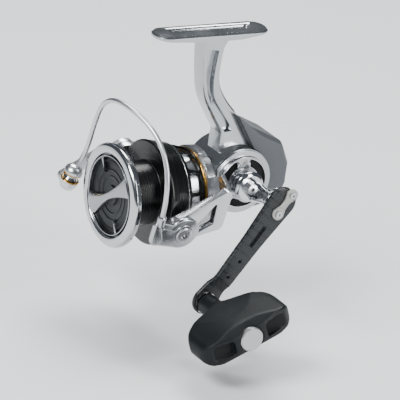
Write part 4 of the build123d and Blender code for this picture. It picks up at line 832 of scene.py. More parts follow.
class Coat(Enum):
    """The reel's finishes, each named for what it really is, and one near-black colour that paints the shade
    in recesses.
    """

    # a die casting under silver lacquer: soft highlights with a fine sparkle
    CASTING = FlakePaint("silver_lacquered_casting", "#b4b7ba", 0.96, 0.20, 0.3, shade=0.14)
    # the same lacquer, buffed, on the rotor
    ROTOR = FlakePaint("silver_lacquered_rotor", "#c3c5c8", 0.97, 0.24, 0.2, shade=0.04)
    # glass-filled nylon with a spark-eroded texture: even, matt and a little grey
    GUARD = Finish("moulded_nylon_grey", "#53565a", 0.40, 0.42, grain_mm=0.25, depth=0.02, shade=0.14)
    # black epoxy enamel over turned metal: deep and glossy, with rings only just there
    ENAMEL = TurnedMetal(
        "black_enamel", "#08090a", 0.0, 0.28, 0.1, shade=0.35, centre=AXLE, ring_mm=0.5, gloss=0.35
    )
    # aluminium turned and then polished: bright, with rings only just there
    LIP = TurnedMetal(
        "polished_aluminium_lip", "#c9cbce", 1.0, 0.15, shade=0.10, centre=AXLE, ring_mm=0.45
    )
    # aluminium dyed gold in an anodising bath: a warm metal sheen
    GOLD = TurnedMetal("gold_anodised_aluminium", "#d9a441", 1.0, 0.22, shade=0.18, centre=AXLE)
    # bright plating over polished castings: clear reflections
    CHROME = Finish("chromium_plate", "#cfd1d4", 1.0, 0.12, grain_mm=0.6, depth=0.004, shade=0.05)
    # the same plate over blasted metal: bright, with soft reflections
    SATIN = Finish("satin_chromium_plate", "#d2d4d7", 1.0, 0.34, grain_mm=0.4, depth=0.004, shade=0.05)
    # stainless sheet finished on a belt: highlights drawn out along the scratches
    LEVER = BrushedMetal(
        "belt_finished_stainless", "#bcbec1", 1.0, 0.24, shade=0.06, way=(0.0, 1.0, 0.15)
    )
    # extruded aluminium, satin: soft bands of light along the bar
    BAR = BrushedMetal("satin_aluminium_bar", "#a4a6a9", 1.0, 0.2, shade=0.12, way=(0.84, 0.0, 0.54))
    # a turned aluminium button: rings and a soft sheen
    CAP = TurnedMetal(
        "turned_aluminium_cap", "#b5b6b8", 0.9, 0.34, shade=0.12, centre=(0.0, -14.35, -121.93),
        across=(0.0, 1.0, 1.0), ring_mm=0.5,
    )
    # the casting's lacquer over a turned face: fine rings round the hub
    COVER = TurnedMetal(
        "turned_casting_cover", "#b4b6b9", 0.97, 0.22, shade=0.16, centre=HUB, across=(0.0, 1.0, 1.0),
        ring_mm=0.4,
    )
    # bar steel turned and ground: grey, with soft rings of light
    STEEL = TurnedMetal("ground_steel", "#b9bbbe", 1.0, 0.28, shade=0.16, centre=AXLE)
    # nickel over steel: small soft glints
    SCREW = Finish("nickel_plated_screw", "#bfc0c2", 1.0, 0.30, grain_mm=0.5, depth=0.01, shade=0.18)
    # zinc as it leaves the die: dull and a little grainy
    ZINC = Finish("zinc_die_casting", "#9a9c9e", 0.95, 0.42, grain_mm=0.3, depth=0.03, shade=0.2)
    # brass fresh from the cutter: warm, with fine rings
    BRASS = TurnedMetal("cut_brass", "#c49a4a", 1.0, 0.30, shade=0.2, centre=AXLE)
    # twill under resin: near black, the cloth only just there
    CARBON = CarbonTwill("carbon_twill_in_resin", "#3d4046", 0.1, 0.34, 0.1, gloss=0.3)
    # blasted aluminium: pale and even, with no clear reflection
    CLAMP = Finish("bead_blasted_aluminium", "#a9a8a4", 0.6, 0.42, grain_mm=0.2, depth=0.012, shade=0.12)
    # soft-touch rubber over a hard core: near black, with a broad weak sheen
    GRIP = Finish(
        "soft_touch_rubber", "#0e1215", 0.0, 0.46, grain_mm=0.3, depth=0.02, shade=0.22, gloss=0.22
    )
    # painted shade: a near-black colour laid in recesses where little light comes back (the bottoms of the
    # grip's pockets, a ring behind the cover's windows, the wire's socket mouth); it stands for the shade
    # there, not for a black part
    RECESS_SHADE = Finish(
        "painted_recess_shade", "#060708", 0.0, 0.60, grain_mm=0.4, depth=0.03, shade=0.2, gloss=0.2
    )
    # dyed aluminium: dark, with a low sheen on each ring
    DISC = TurnedMetal(
        "anthracite_drag_disc", "#26282b", 0.7, 0.36, 0.0, gloss=0.3, shade=0.35, centre=AXLE, ring_mm=0.6
    )
    # acetal from the mould: off-white and waxy
    ACETAL = Finish("moulded_acetal", "#d9d6cb", 0.0, 0.42)
    # pressed wool: dark and dead matt
    FELT = PressedFelt("pressed_felt", "#2f2e2b", 0.0, 0.95, shade=0.4)
    # rubber from the mould: matt black
    SEAL = Finish("moulded_rubber_seal", "#131314", 0.0, 0.6)


def wear(piece: Piece, coat: Coat) -> None:
    """Gives a piece one finish all over.

    Args:
        piece: The piece.
        coat: The finish.
    """
    material = coat.value.build()
    if not piece.data.materials:
        piece.data.materials.append(material)
    for slot in piece.material_slots:
        slot.link = "OBJECT"
        slot.material = material


def peg(seat: Seat, u: float, v: float, radius: float, low: float, high: float, sides: int = 20) -> Piece:
    """A round rod along a seat's third direction, used as a cutter."""
    return plate("peg", seat, hull_outline([(u, v, radius)], sides), low, high, 0.0)


def radial_seat(turn: float, s: float) -> Seat:
    """A seat whose third direction points outward from the spool's axis.

    Args:
        turn: The outward direction's turn from +X towards +Z.
        s: How far behind the lip's front it stands.

    Returns:
        The seat, whose first direction runs rearward.
    """
    out = (math.cos(turn), 0.0, math.sin(turn))
    return Seat((0.0, LIP_Y + s, AXIS_Z), (0.0, 1.0, 0.0), (-out[2], 0.0, out[0]), out)


def loft(
    name: str, seat: Seat, stations: Sequence[Sequence[float]], samples: int, power: float = 3.0
) -> Piece:
    """A superellipse section carried through stations.

    Args:
        name: The piece's name.
        seat: Local directions; the stations stand along the third.
        stations: Rows of (place, u, v, size along u, size along v), joined by a smooth line.
        samples: Sections made.
        power: The superellipse's power: at turn t, u is half the size times |cos t| to the 2 / power.

    Returns:
        The object.
    """
    line = through(stations, samples)
    angle = np.linspace(0.0, 2 * math.pi, 48, endpoint=False)[None, :]
    c, s = np.cos(angle), np.sin(angle)
    u = line[:, 1:2] + line[:, 3:4] / 2 * np.sign(c) * np.abs(c) ** (2 / power)
    v = line[:, 2:3] + line[:, 4:5] / 2 * np.sign(s) * np.abs(s) ** (2 / power)
    return surface(name, seat.at(u, v, line[:, :1] + 0 * u), False, True, True)


def fit(piece: Piece, coat: Coat, body: str, slot: str, *nodes: str) -> Piece:
    """Dresses a finished piece, rides it on its body and hides the frame nodes that it stands for.

    Args:
        piece: The piece.
        coat: Its finish.
        body: The body it rides on.
        slot: The record's material slot; not used.
        *nodes: The frame nodes it replaces.

    Returns:
        The piece.
    """
    wear(piece, coat)
    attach(piece, body)
    if nodes:
        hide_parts(*nodes)
    LOG.info("%s rides on %s", piece.name, body)
    return piece


@dataclass
class SpoolGroup:
    """Lip, drum with its flange, band and skirt, and the gold ring, all turned about the spool's axis."""

    lip_radius: float = 26.0
    lip_bore: float = 20.5
    holes: int = 16
    hole_radius: float = 0.6
    hole_place: float = 3.3
    arbor_radius: float = 16.0
    arbor_rear: float = 21.3
    groove_pitch: float = 1.0
    band_rear: float = 32.4
    band_radius: float = 24.0
    skirt_rear: float = 43.4
    skirt_end: float = 20.6
    ports: int = 12
    post: float = 1.8

    def lip(self) -> None:
        """The polished lip: a fat convex ring with a row of small holes drilled in its side."""
        bore, radius = self.lip_bore, self.lip_radius
        corners = [
            (1.6, bore), (0.5, bore + 0.4), (0.0, bore + 1.9), (0.5, radius - 1.1), (1.7, radius),
            (4.6, radius - 0.45), (5.2, radius - 3.6), (5.6, self.arbor_radius + 1.0), (5.6, 13.5),
            (4.4, 13.5), (4.4, bore),
        ]
        cuts = [0.5, 0.8, 1.5, 1.5, 1.1, 0.5, 1.5, 0.6, 0.1, 0.1, 0.1]
        piece = lathe("lip_ring", SPOOL_SEAT, rounded(corners, cuts, 7), 180)
        turns = [2 * math.pi * (n + 0.5) / self.holes for n in range(self.holes)]
        pegs = [
            peg(
                radial_seat(turn, self.hole_place), 0, 0, self.hole_radius, radius - 2.2, radius + 1.0, 14
            )
            for turn in turns
        ]
        cut(piece, joined("pegs", pegs))
        fit(piece, Coat.LIP, "spool", "polished_lip", "spool_lip")

    def drum(self) -> None:
        """The black drum: a grooved arbor, the flange, the band, and a skirt with a port all round it.

        The arbor's radius falls by 0.12 and comes back once every groove_pitch, as a cosine.
        """
        s = np.arange(6.2, self.arbor_rear - 0.8, self.groove_pitch / 6)
        grooved = np.stack(
            [s, self.arbor_radius - 0.12 * (1 - np.cos(2 * math.pi * s / self.groove_pitch)) / 2], -1
        )
        corners = [
            (self.arbor_rear, self.arbor_radius), (self.arbor_rear, 25.4), (self.arbor_rear + 0.5, 26.1),
            (self.arbor_rear + 1.3, 26.1), (self.band_rear, self.band_radius),
            (self.band_rear + 0.5, self.band_radius - 0.6), (self.skirt_rear, self.skirt_end),
            (self.skirt_rear, self.skirt_end - 1.2), (self.band_rear + 0.6, self.band_radius - 1.9),
            (24.0, 24.2), (23.0, 23.4), (23.0, 14.2), (17.0, 14.2), (17.0, 7.0), (20.4, 7.0), (20.4, 4.1),
            (16.5, 4.1), (16.5, 2.3), (15.0, 2.3), (15.0, 12.6), (5.62, 12.6), (5.62, self.arbor_radius),
        ]
        cuts = [0.5] * 3 + [0.3] * 3 + [0.25] * 3 + [0.1] * 13
        every = np.vstack([grooved, corners])
        piece = lathe("spool_drum", SPOOL_SEAT, rounded(every, [0.04] * len(s) + cuts, 4), 144)
        middle = (self.band_rear + self.skirt_rear) / 2 + 0.4
        wide = math.pi * (self.skirt_end + self.band_radius) / self.ports - self.post
        long = self.skirt_rear - self.band_rear - 3.6
        half_long, half_wide = long / 2, wide / 2
        window = rounded(
            [
                (way_u * half_long, way_v * half_wide)
                for way_u, way_v in ((-1, -1), (1, -1), (1, 1), (-1, 1))
            ],
            1.2,
        )
        turns = [2 * math.pi * n / self.ports for n in range(self.ports)]
        cutters = [plate("window", radial_seat(turn, middle), window, 16.5, 26.0, 0.0) for turn in turns]
        cut(piece, joined("windows", cutters))
        fit(piece, Coat.ENAMEL, "spool", "black_trim", "spool")

    def rings(self) -> None:
        """The gold ring at the skirt's end, and a thin polished ring at the band's rear edge that paints the
        highlight seen along that edge.
        """
        low, rear = self.skirt_end - 1.2, self.skirt_rear + 0.02
        gold = rounded([(rear, low), (rear, 20.9), (rear + 0.78, 20.7), (rear + 0.78, low)], 0.2, 4)
        fit(lathe("gold_ring", SPOOL_SEAT, gold, 180), Coat.GOLD, "spool", "gold", "spool_trim_ring")
        # painted highlight: a thin polished ring laid on the band's rear edge to stand for the highlight
        # along that edge
        edge = self.band_radius
        line = rounded(
            [(32.2, edge - 0.4), (32.2, edge + 0.12), (32.7, edge), (32.7, edge - 0.6)], 0.12, 4
        )
        fit(lathe("band_edge_highlight", SPOOL_SEAT, line, 180), Coat.LIP, "spool", "polished_lip")

    def build(self) -> None:
        """Makes the whole group."""
        self.lip()
        self.drum()
        self.rings()


@dataclass
class DragKnob:
    """A dished disc with ring ribs, and the crowned bar that the fingers turn it by."""

    radius: float = 20.0
    ribs: tuple[float, ...] = (9.2, 12.4, 16.8)
    rib_width: float = 0.9
    bar_turn: float = math.radians(33.0)
    bar_reach: float = 19.6
    bar_top: float = -0.9
    bar_base: float = 2.4

    def disc(self) -> None:
        """The dish: its floor sinks as a cosine from rim to middle, with a round boss and ring ribs on it.

        At radius r the floor stands at 2.3 + 0.7 (1 + cos(pi r / 18.4)) / 2 behind the lip's front, less a
        cosine bump of 0.28 where r is within a rib's width of one of the ribs, and less the boss, a step.
        """
        r = np.linspace(0.0, 18.4, 300)
        floor = 2.3 + 0.7 * (1 + np.cos(math.pi * r / 18.4)) / 2
        boss = 0.9 * np.clip((5.2 - r) / 0.6, 0.0, 1.0)
        near = np.min(np.abs(r[:, None] - np.array(self.ribs)[None, :]), axis=1)
        rib = 0.28 * (1 + np.cos(math.pi * np.clip(near / self.rib_width, 0, 1))) / 2
        face = np.stack([floor - boss - rib, r], -1)
        back = [
            (2.1, 18.5), (1.6, 18.8), (1.6, self.radius - 0.2), (1.8, self.radius), (4.1, self.radius),
            (4.1, 6.4), (7.8, 6.4), (7.8, 3.7), (4.6, 3.7), (4.6, 1.8), (3.9, 0.0),
        ]
        piece = lathe("drag_disc", SPOOL_SEAT, np.vstack([face, back]), 160)
        fit(piece, Coat.DISC, "drag", "dark_disc", "drag_knob")

    def bar(self) -> None:
        """The bow-tie bar with the rim ring and two spikes.

        At t from -1 to 1 along the bar its half width is 2.4 + 3.8 |t|^1.7, its crown follows a superellipse
        and falls a little to the ends, and every line along it stops on the same circle.
        """
        seat = Seat(SPOOL_SEAT.origin, (math.cos(self.bar_turn), 0.0, math.sin(self.bar_turn)),
                    (-math.sin(self.bar_turn), 0.0, math.cos(self.bar_turn)), (0.0, 1.0, 0.0))
        t = np.linspace(-1.0, 1.0, 61)[:, None]
        angle = np.linspace(0.0, math.pi, 33)[None, :]
        half = 2.4 + 3.8 * np.abs(t) ** 1.7
        over, under = np.cos(angle), np.linspace(-1.0, 1.0, 9)[None, 1:-1]
        across = np.hstack([half * np.sign(over) * np.abs(over) ** 0.95, half * under])
        rise = (self.bar_base - self.bar_top) * (1 - 0.22 * np.abs(t) ** 4)
        height = np.hstack(
            [self.bar_base - rise * np.sin(angle) ** 0.95, np.full((61, 7), self.bar_base)]
        )
        along = t * np.sqrt(np.maximum(self.bar_reach**2 - across**2, 0.0))
        parts = [surface("bar", seat.at(along, across, height), False, True, True)]
        ring = rounded([(1.5, 19.0), (0.5, 19.2), (0.5, 19.75), (1.58, 19.8)], 0.25, 4)
        parts.append(lathe("rim", SPOOL_SEAT, ring, 160))
        for way in (1.0, -1.0):
            spike = Seat(seat.origin, tuple(way * c for c in seat.second), seat.first, seat.third)
            shape = [(11.5, 0.0), (18.9, -0.9), (18.9, 0.9)]
            parts.append(plate("spike", spike, rounded(shape, 0.3, 4), 0.7, 2.4, 0.2))
        fit(joined("drag_bar", parts), Coat.BAR, "drag", "brushed", "drag_knob_bar")

    def build(self) -> None:
        """Makes the knob."""
        self.disc()
        self.bar()


@dataclass
class BailGroup:
    """The wire loop with its horn and dome, the roller's gold rings, the lever and the far arm."""

    wire: float = 1.25
    dome: float = 4.8
    dome_start: float = 1.9
    lever_in: float = 32.2
    lever_out: float = 35.0
    # out, up and ahead of the hinge line, from the lever's socket round to the roller
    route: tuple[tuple[float, float, float], ...] = (
        (33.6, 8.6, 14.5), (33.2, 17.0, 14.7), (30.6, 27.3, 15.0), (24.6, 36.6, 15.0), (15.0, 43.6, 16.2),
        (4.0, 47.0, 18.9), (-7.5, 47.2, 22.1), (-17.5, 44.4, 23.7), (-25.0, 38.0, 23.9),
        (-28.7, 29.3, 23.4), (-30.0, 18.5, 22.9), (-30.4, 9.0, 22.8), (-30.4, 3.0, 23.4),
        (-30.2, -2.0, 25.0), (-30.0, -6.1, 26.6), (-30.0, -8.0, 27.1),
    )

    def loop(self) -> None:
        """The wire, whose radius swells over its last sixth as a power of the place, and the upper dome."""
        path = through(self.route, 220)
        path = calm(2 * path - calm(path, 20), 20)
        place = np.linspace(0.0, 1.0, 220)
        radius = self.wire + 3.0 * np.clip((place - 0.84) / 0.16, 0.0, 1.0) ** 1.9
        wire = tube("wire", BAIL_SEAT.at(*path.T), radius, (0.0, 1.0, 0.3), 32)
        start = -self.dome_start
        egg = [(start, 0.0), (start, 2.4), (start, 4.2), (start - 0.25, 4.65), (start - 0.9, self.dome),
               (start - 2.0, 4.55), (start - 3.2, 3.75), (start - 4.2, 2.4), (start - 4.8, 0.0)]
        upper = lathe("upper", ROLLER_SEAT, through(egg, 60), 72)
        fit(joined("bail_loop", [wire, upper]), Coat.SATIN, "bail", "bright_metal", "bail_wire")

    def gold(self) -> None:
        """A thin gold ring on each dome's inner face."""
        rings = []
        for way in (-1.0, 1.0):
            near, far = way * 1.74, way * 2.2
            rings.append(
                lathe(
                    "ring", ROLLER_SEAT,
                    rounded([(near, 3.9), (near, 4.7), (far, 4.85), (far, 3.9)], 0.1, 3), 72,
                ),
            )
        fit(joined("roller_gold_rings", rings), Coat.GOLD, "bail", "gold")

    def lever(self) -> None:
        """The near lever: sheet, round shoulder, front block, raised face, pivot disc and wire socket."""
        low, high = self.lever_in, self.lever_out
        hull = [(-2.4, 0.0, 6.3), (5.6, 15.0, 3.1), (-1.4, 13.5, 4.4)]
        seat = Seat(BAIL_SEAT.origin, UP, AHEAD, OUT)
        base = plate("base", seat, hull_outline(hull, 200), low, high - 0.5, 0.9)
        shoulder = plate("shoulder", seat, hull_outline([(0.0, 0.0, 8.8)], 160), low, high - 0.45, 0.9)
        block = plate(
            "block", seat, hull_outline([(6.4, 15.9, 2.0), (-2.2, 14.4, 3.3), (-1.6, 14.8, 3.0)], 120),
            low, high + 0.1, 1.0,
        )
        face = plate(
            "face", seat, hull_outline([(-3.0, 1.0, 4.4), (-3.2, 11.0, 2.2), (3.0, 12.0, 1.6)], 200),
            high - 1.0, high - 0.1, 0.4,
        )
        disc = [
            (high - 0.8, 0.0), (high - 0.8, 5.6), (high - 0.15, 5.3), (high, 4.9), (high - 0.1, 4.1),
            (high - 0.5, 3.9), (high - 0.5, 0.0),
        ]
        pivot = lathe("pivot", seat, rounded(disc, [0.0, 0.2, 0.3, 0.4, 0.2, 0.1, 0.0], 4), 120)
        way = np.array(self.route[1]) - np.array(self.route[0])
        ends = np.array(self.route[0]) + way / np.linalg.norm(way) * np.linspace(-2.2, 3.2, 12)[:, None]
        socket = tube(
            "socket", BAIL_SEAT.at(*ends.T), np.array([2.2] * 10 + [2.05, 1.7]), (0.0, 1.0, 0.3), 36
        )
        fit(
            joined("near_lever", [base, shoulder, block, face, pivot, socket]), Coat.LEVER, "bail",
            "brushed", "bail_lever",
        )
        # painted shade: a near-black ring in the socket's mouth round the wire, where shade falls between
        # wire and socket
        ring = tube("socket_mouth_shade", BAIL_SEAT.at(*ends[-2:].T), np.array([1.75, 1.6]), (0.0, 1.0, 0.3), 36)
        fit(ring, Coat.RECESS_SHADE, "bail", "black_trim")

    def pivots(self) -> None:
        """The two pivot screws: domed heads with a recess of radius 1.55 + 0.28 cos 6t at turn t."""
        parts = []
        for way in (1.0, -1.0):
            seat = Seat(BAIL_SEAT.origin, UP, AHEAD, tuple(way * c for c in OUT))
            head = [
                (28.7, 0.0), (28.7, 1.95), (35.1, 1.95), (35.1, 4.3), (35.5, 4.4), (35.95, 3.9),
                (36.2, 2.9), (36.15, 0.0),
            ]
            piece = lathe("head", seat, rounded(head, [0, 0.1, 0.1, 0.1, 0.3, 0.4, 0.5, 0], 4), 96)
            turn = np.linspace(0.0, 2 * math.pi, 48, endpoint=False)
            star = np.stack([np.cos(turn), np.sin(turn)], -1) * (1.55 + 0.28 * np.cos(6 * turn))[:, None]
            cut(piece, plate("star", seat, star, 35.3, 37.0, 0.0))
            parts.append(piece)
        fit(joined("pivot_screws", parts), Coat.SCREW, "rotor", "steel", "bail_pivot_screws")

    def far_side(self, frame: Frame) -> None:
        """The far arm that holds the roller, with every edge eased."""
        fit(
            eased("bail_roller_arm", "roller_arm", frame, 0.35), Coat.SATIN, "bail", "brushed",
            "bail_roller_arm",
        )

    def build(self, frame: Frame) -> None:
        """Makes the whole group.

        Args:
            frame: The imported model.
        """
        self.loop()
        self.gold()
        self.lever()
        self.pivots()
        self.far_side(frame)


@dataclass
class HandleGroup:
    """Hub, neck, crank, clamp plate and grip."""

    plane: float = 49.5
    thick: float = 3.0
    drop: float = 2.2
    side: float = -3.0
    pocket: float = 91.40
    # along the crank and radius of the circle there; the plate is the belt round each two neighbours
    circles: tuple[tuple[float, float], ...] = ((-3.5, 7.6), (20.0, 5.7), (46.0, 4.9), (57.0, 6.9))

    def half_width(self, u: Array) -> Array:
        """The largest half chord at u of a circle that slides and swells from each circle to the next.

        Args:
            u: Places along the crank.

        Returns:
            The crank's half width at each.
        """
        share = np.linspace(0.0, 1.0, 200)[:, None]
        given = np.array(self.circles)
        centre, radius = (
            (given[:-1, n] + (given[1:, n] - given[:-1, n]) * share).reshape(1, -1) for n in (0, 1)
        )
        return np.sqrt(np.max(np.maximum(radius**2 - (u[:, None] - centre) ** 2, 0.0), axis=1))

    def crank(self) -> None:
        """The carbon crank: rounded-edge sections along it, its lower end bent inward by a smooth step."""
        first, last = self.circles[0], self.circles[-1]
        t = (1 - np.cos(np.linspace(0.0, math.pi, 160))) / 2
        u = (first[0] - first[1] + 0.02) + t * (last[0] + last[1] - first[0] + first[1] - 0.04)
        half = self.half_width(u)[:, None]
        bend = np.clip((u - 43.5) / 6.0, 0.0, 1.0)[:, None]
        bend = bend * bend * (3 - 2 * bend)
        low, high = self.plane - 1.5 * bend, self.plane + self.thick - self.drop * bend
        edge = np.minimum(0.8, half * 0.6)
        turn = np.linspace(0.0, math.pi / 2, 5)[None, :]
        right = [half - edge + edge * np.sin(turn), high - 0.8 + 0.8 * np.cos(turn)]
        lower = [half - edge + edge * np.cos(turn), low + 0.8 - 0.8 * np.sin(turn)]
        v = np.hstack([right[0], lower[0], -lower[0][:, ::-1], -right[0][:, ::-1]])
        w = np.hstack([right[1], lower[1], lower[1][:, ::-1], right[1][:, ::-1]])
        piece = surface("crank", CRANK_SEAT.at(u[:, None] + 0 * v, self.side + v, w), False, True, True)
        middle = [(17.0 - 5.4, self.side, 1.2), (17.0 + 5.4, self.side, 1.2)]
        cutters = [plate("slot", CRANK_SEAT, hull_outline(middle, 60), 45.0, 55.0, 0.0)]
        cutters += [peg(CRANK_SEAT, along, self.side, 1.3, 45.0, 55.0, 32) for along in (31.6, 41.0)]
        cut(piece, joined("holes", cutters))
        fit(piece, Coat.CARBON, "handle", "carbon", "handle_arm")

    def hub(self) -> None:
        """The chromed hub and the neck that reaches out to the crank."""
        profile = [
            (15.3, 3.02), (15.3, 4.8), (19.6, 4.8), (19.8, 8.0), (20.9, 8.0), (22.0, 6.6), (22.0, 1.3),
            (20.7, 1.3), (20.7, 3.02),
        ]
        hub = lathe(
            "hub_disc", DRIVE_SEAT, rounded(profile, [0.1, 0.5, 0.3, 0.3, 0.5, 0.6, 0.1, 0.05, 0.05], 5),
            128,
        )
        fit(hub, Coat.CHROME, "handle", "bright_metal", "handle_hub")
        stations = [
            (22.02, 0.0, 5.0, 10.4, 4.2), (26.0, -0.4, 4.2, 8.8, 4.2), (31.0, -1.0, 2.6, 8.4, 4.6),
            (37.0, -1.8, 0.4, 9.0, 5.4), (43.0, -2.7, -1.8, 12.0, 7.2), (49.48, -3.4, -3.0, 15.6, 8.6),
        ]
        fit(
            loft("neck", CRANK_SEAT, stations, 60, 2.6), Coat.CHROME, "handle", "bright_metal",
            "handle_neck",
        )

    def clamp(self) -> None:
        """The dumbbell plate over the crank's head: two half chords of circles and a parabola between."""
        face, side = self.plane + self.thick + 0.02, self.side + 1.0
        u = np.linspace(-12.1, 5.2, 90)
        ends = np.maximum(9.0 - np.minimum((u + 9.2) ** 2, (u - 2.3) ** 2), 0.0) ** 0.5
        waist = 1.7 + 0.05 * (u + 3.45) ** 2
        half = np.where((u > -9.2) & (u < 2.3), np.maximum(ends, waist), ends) + 0.25 * (ends > 0)
        outline = np.vstack([np.stack([u, side + half], -1), np.stack([u, side - half], -1)[::-1]])
        piece = plate("clamp", CRANK_SEAT, outline[::-1], face, face + 1.08, 0.3)
        fit(piece, Coat.CLAMP, "handle", "bone_plate", "arm_clamp_plate")

    def grip(self, frame: Frame) -> None:
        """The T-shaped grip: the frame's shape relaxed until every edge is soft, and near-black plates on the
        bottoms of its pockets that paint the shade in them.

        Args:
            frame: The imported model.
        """
        piece = copy_of("knob_grip", "grip", frame)
        remesh = piece.modifiers.new("voxels", "REMESH")
        remesh.mode, remesh.voxel_size = "VOXEL", 0.5 * MM
        relax = piece.modifiers.new("relax", "SMOOTH")
        relax.factor, relax.iterations = 0.5, 16
        settle(piece)
        smooth(piece, 60.0)
        fit(piece, Coat.GRIP, "grip", "soft_grip", "knob_grip")
        # painted shade: near-black plates on the bottoms of the grip's pockets
        pocket_shade_plates = []
        for way in (1.0, -1.0):
            circles = [(way * 14.6 + u, v, 1.3) for u in (-4.1, 4.1) for v in (-2.4, 2.4)]
            pocket_shade_plates.append(
                plate("floor", KNOB_SEAT, hull_outline(circles, 80), self.pocket, self.pocket + 0.45, 0.1)
            )
        fit(joined("grip_pocket_shade", pocket_shade_plates), Coat.RECESS_SHADE, "grip", "black_trim")

    def build(self, frame: Frame) -> None:
        """Makes the whole group.

        Args:
            frame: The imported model.
        """
        self.hub()
        self.crank()
        self.clamp()
        self.grip(frame)


@dataclass
class Castings:
    """The body, its covers and the rotor: the frame's own shapes with eased edges and sunk details."""

    edge: float = 0.45
    bay_floor: float = 21.5
    bay_width: float = 118.0
    bay_starts: tuple[float, float] = (50.0, 230.0)

    def body(self, frame: Frame) -> None:
        """The housing with foot and stem; the foot's top gets its long shallow recess.

        Args:
            frame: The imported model.
        """
        piece = eased("body_housing", "housing", frame, self.edge)
        seat = Seat((0.0, 0.0, 0.0), (1.0, 0.0, 0.0), (0.0, 1.0, 0.0), (0.0, 0.0, 1.0))
        recess = hull_outline([(0.0, -20.0, 2.6), (0.0, 20.0, 2.6)], 60)
        cut(piece, plate("recess", seat, recess, -0.8, 1.0, 0.0))
        fit(piece, Coat.CASTING, "body", "satin_silver", "body_housing")

    def cover(self, frame: Frame) -> None:
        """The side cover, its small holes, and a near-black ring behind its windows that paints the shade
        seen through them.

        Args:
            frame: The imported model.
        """
        piece = eased("side_cover", "cover", frame, 0.25)
        holes = [
            peg(DRIVE_SEAT, 11.4 * math.cos(turn), 11.4 * math.sin(turn), 0.55, 14.0, 16.0)
            for turn in np.radians([78.0, 112.0, 228.0])
        ]
        cut(piece, joined("cover_holes", holes))
        fit(piece, Coat.COVER, "body", "satin_silver", "side_cover")
        # painted shade: a near-black ring just inside the cover, seen through its windows
        dark = lathe(
            "cover_window_shade", DRIVE_SEAT,
            np.array([(13.5, 8.9), (13.72, 8.9), (13.72, 12.5), (13.5, 12.5)]), 120,
        )
        fit(dark, Coat.RECESS_SHADE, "body", "black_trim")

    def guard(self, frame: Frame) -> None:
        """The faceted rear guard."""
        fit(
            eased("rear_guard", "guard", frame, 0.5, 20.0), Coat.GUARD, "body", "guard_grey", "rear_guard"
        )

    def rotor(self, frame: Frame) -> None:
        """The rotor with its two arms; the rim is cut back to the cup in two bays between them.

        Args:
            frame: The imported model.
        """
        piece = eased("rotor", "rotor_casting", frame, 0.4)
        seat = Seat(SPOOL_SEAT.origin, OUT, UP, AHEAD)
        sectors = []
        for start in self.bay_starts:
            turn = np.radians(np.linspace(start, start + self.bay_width, 60))
            way = np.stack([np.cos(turn), np.sin(turn)], -1)
            outline = np.vstack([way[::-1] * self.bay_floor, way * 38.0])
            sectors.append(plate("bay", seat, outline, -53.0, -44.7, 0.0))
        cut(piece, joined("bays", sectors))
        smooth(piece, 30.0)
        fit(piece, Coat.ROTOR, "rotor", "satin_silver", "rotor")

    def build(self, frame: Frame) -> None:
        """Makes the whole group.

        Args:
            frame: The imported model.
        """
        self.body(frame)
        self.cover(frame)
        self.guard(frame)
        self.rotor(frame)


# ---------------------------------------------------------------- what the frame brings
DRESS: dict[Coat, str] = {
    Coat.CASTING: "body_housing side_cover slider",
    Coat.ROTOR: "rotor",
    Coat.GUARD: "rear_guard",
    Coat.ENAMEL: "spool click_pawl arm_cover shaft_cap",
    Coat.LIP: "spool_lip",
    Coat.GOLD: "spool_trim_ring",
    Coat.CHROME: "bail_wire line_roller handle_hub handle_neck knob_spindle",
    Coat.LEVER: "bail_lever bail_roller_arm",
    Coat.BAR: "drag_knob_bar",
    Coat.CAP: "knob_cap",
    Coat.STEEL: "main_shaft drive_shaft guide_rod oscillation_axle rotor_nut bail_spring trip_lever drag_nut "
    "drive_bearings pinion_bearing knob_bearings spool_bearing roller_bearing pinion_bush clutch_housing "
    "clutch_rollers clutch_sleeve clutch_retainer keyed_drag_washers eared_drag_washer drag_clip "
    "drag_spring_washers",
    Coat.SCREW: "side_cover_screws retainer_screws bail_pivot_screws roller_screw handle_screw arm_screws",
    Coat.ZINC: "drive_gear oscillation_gear",
    Coat.BRASS: "pinion",
    Coat.CARBON: "handle_arm",
    Coat.CLAMP: "arm_clamp_plate",
    Coat.GRIP: "knob_grip",
    Coat.DISC: "drag_knob",
    Coat.ACETAL: "click_ratchet",
    Coat.FELT: "felt_drag_washers",
    Coat.SEAL: "cover_seal",
}


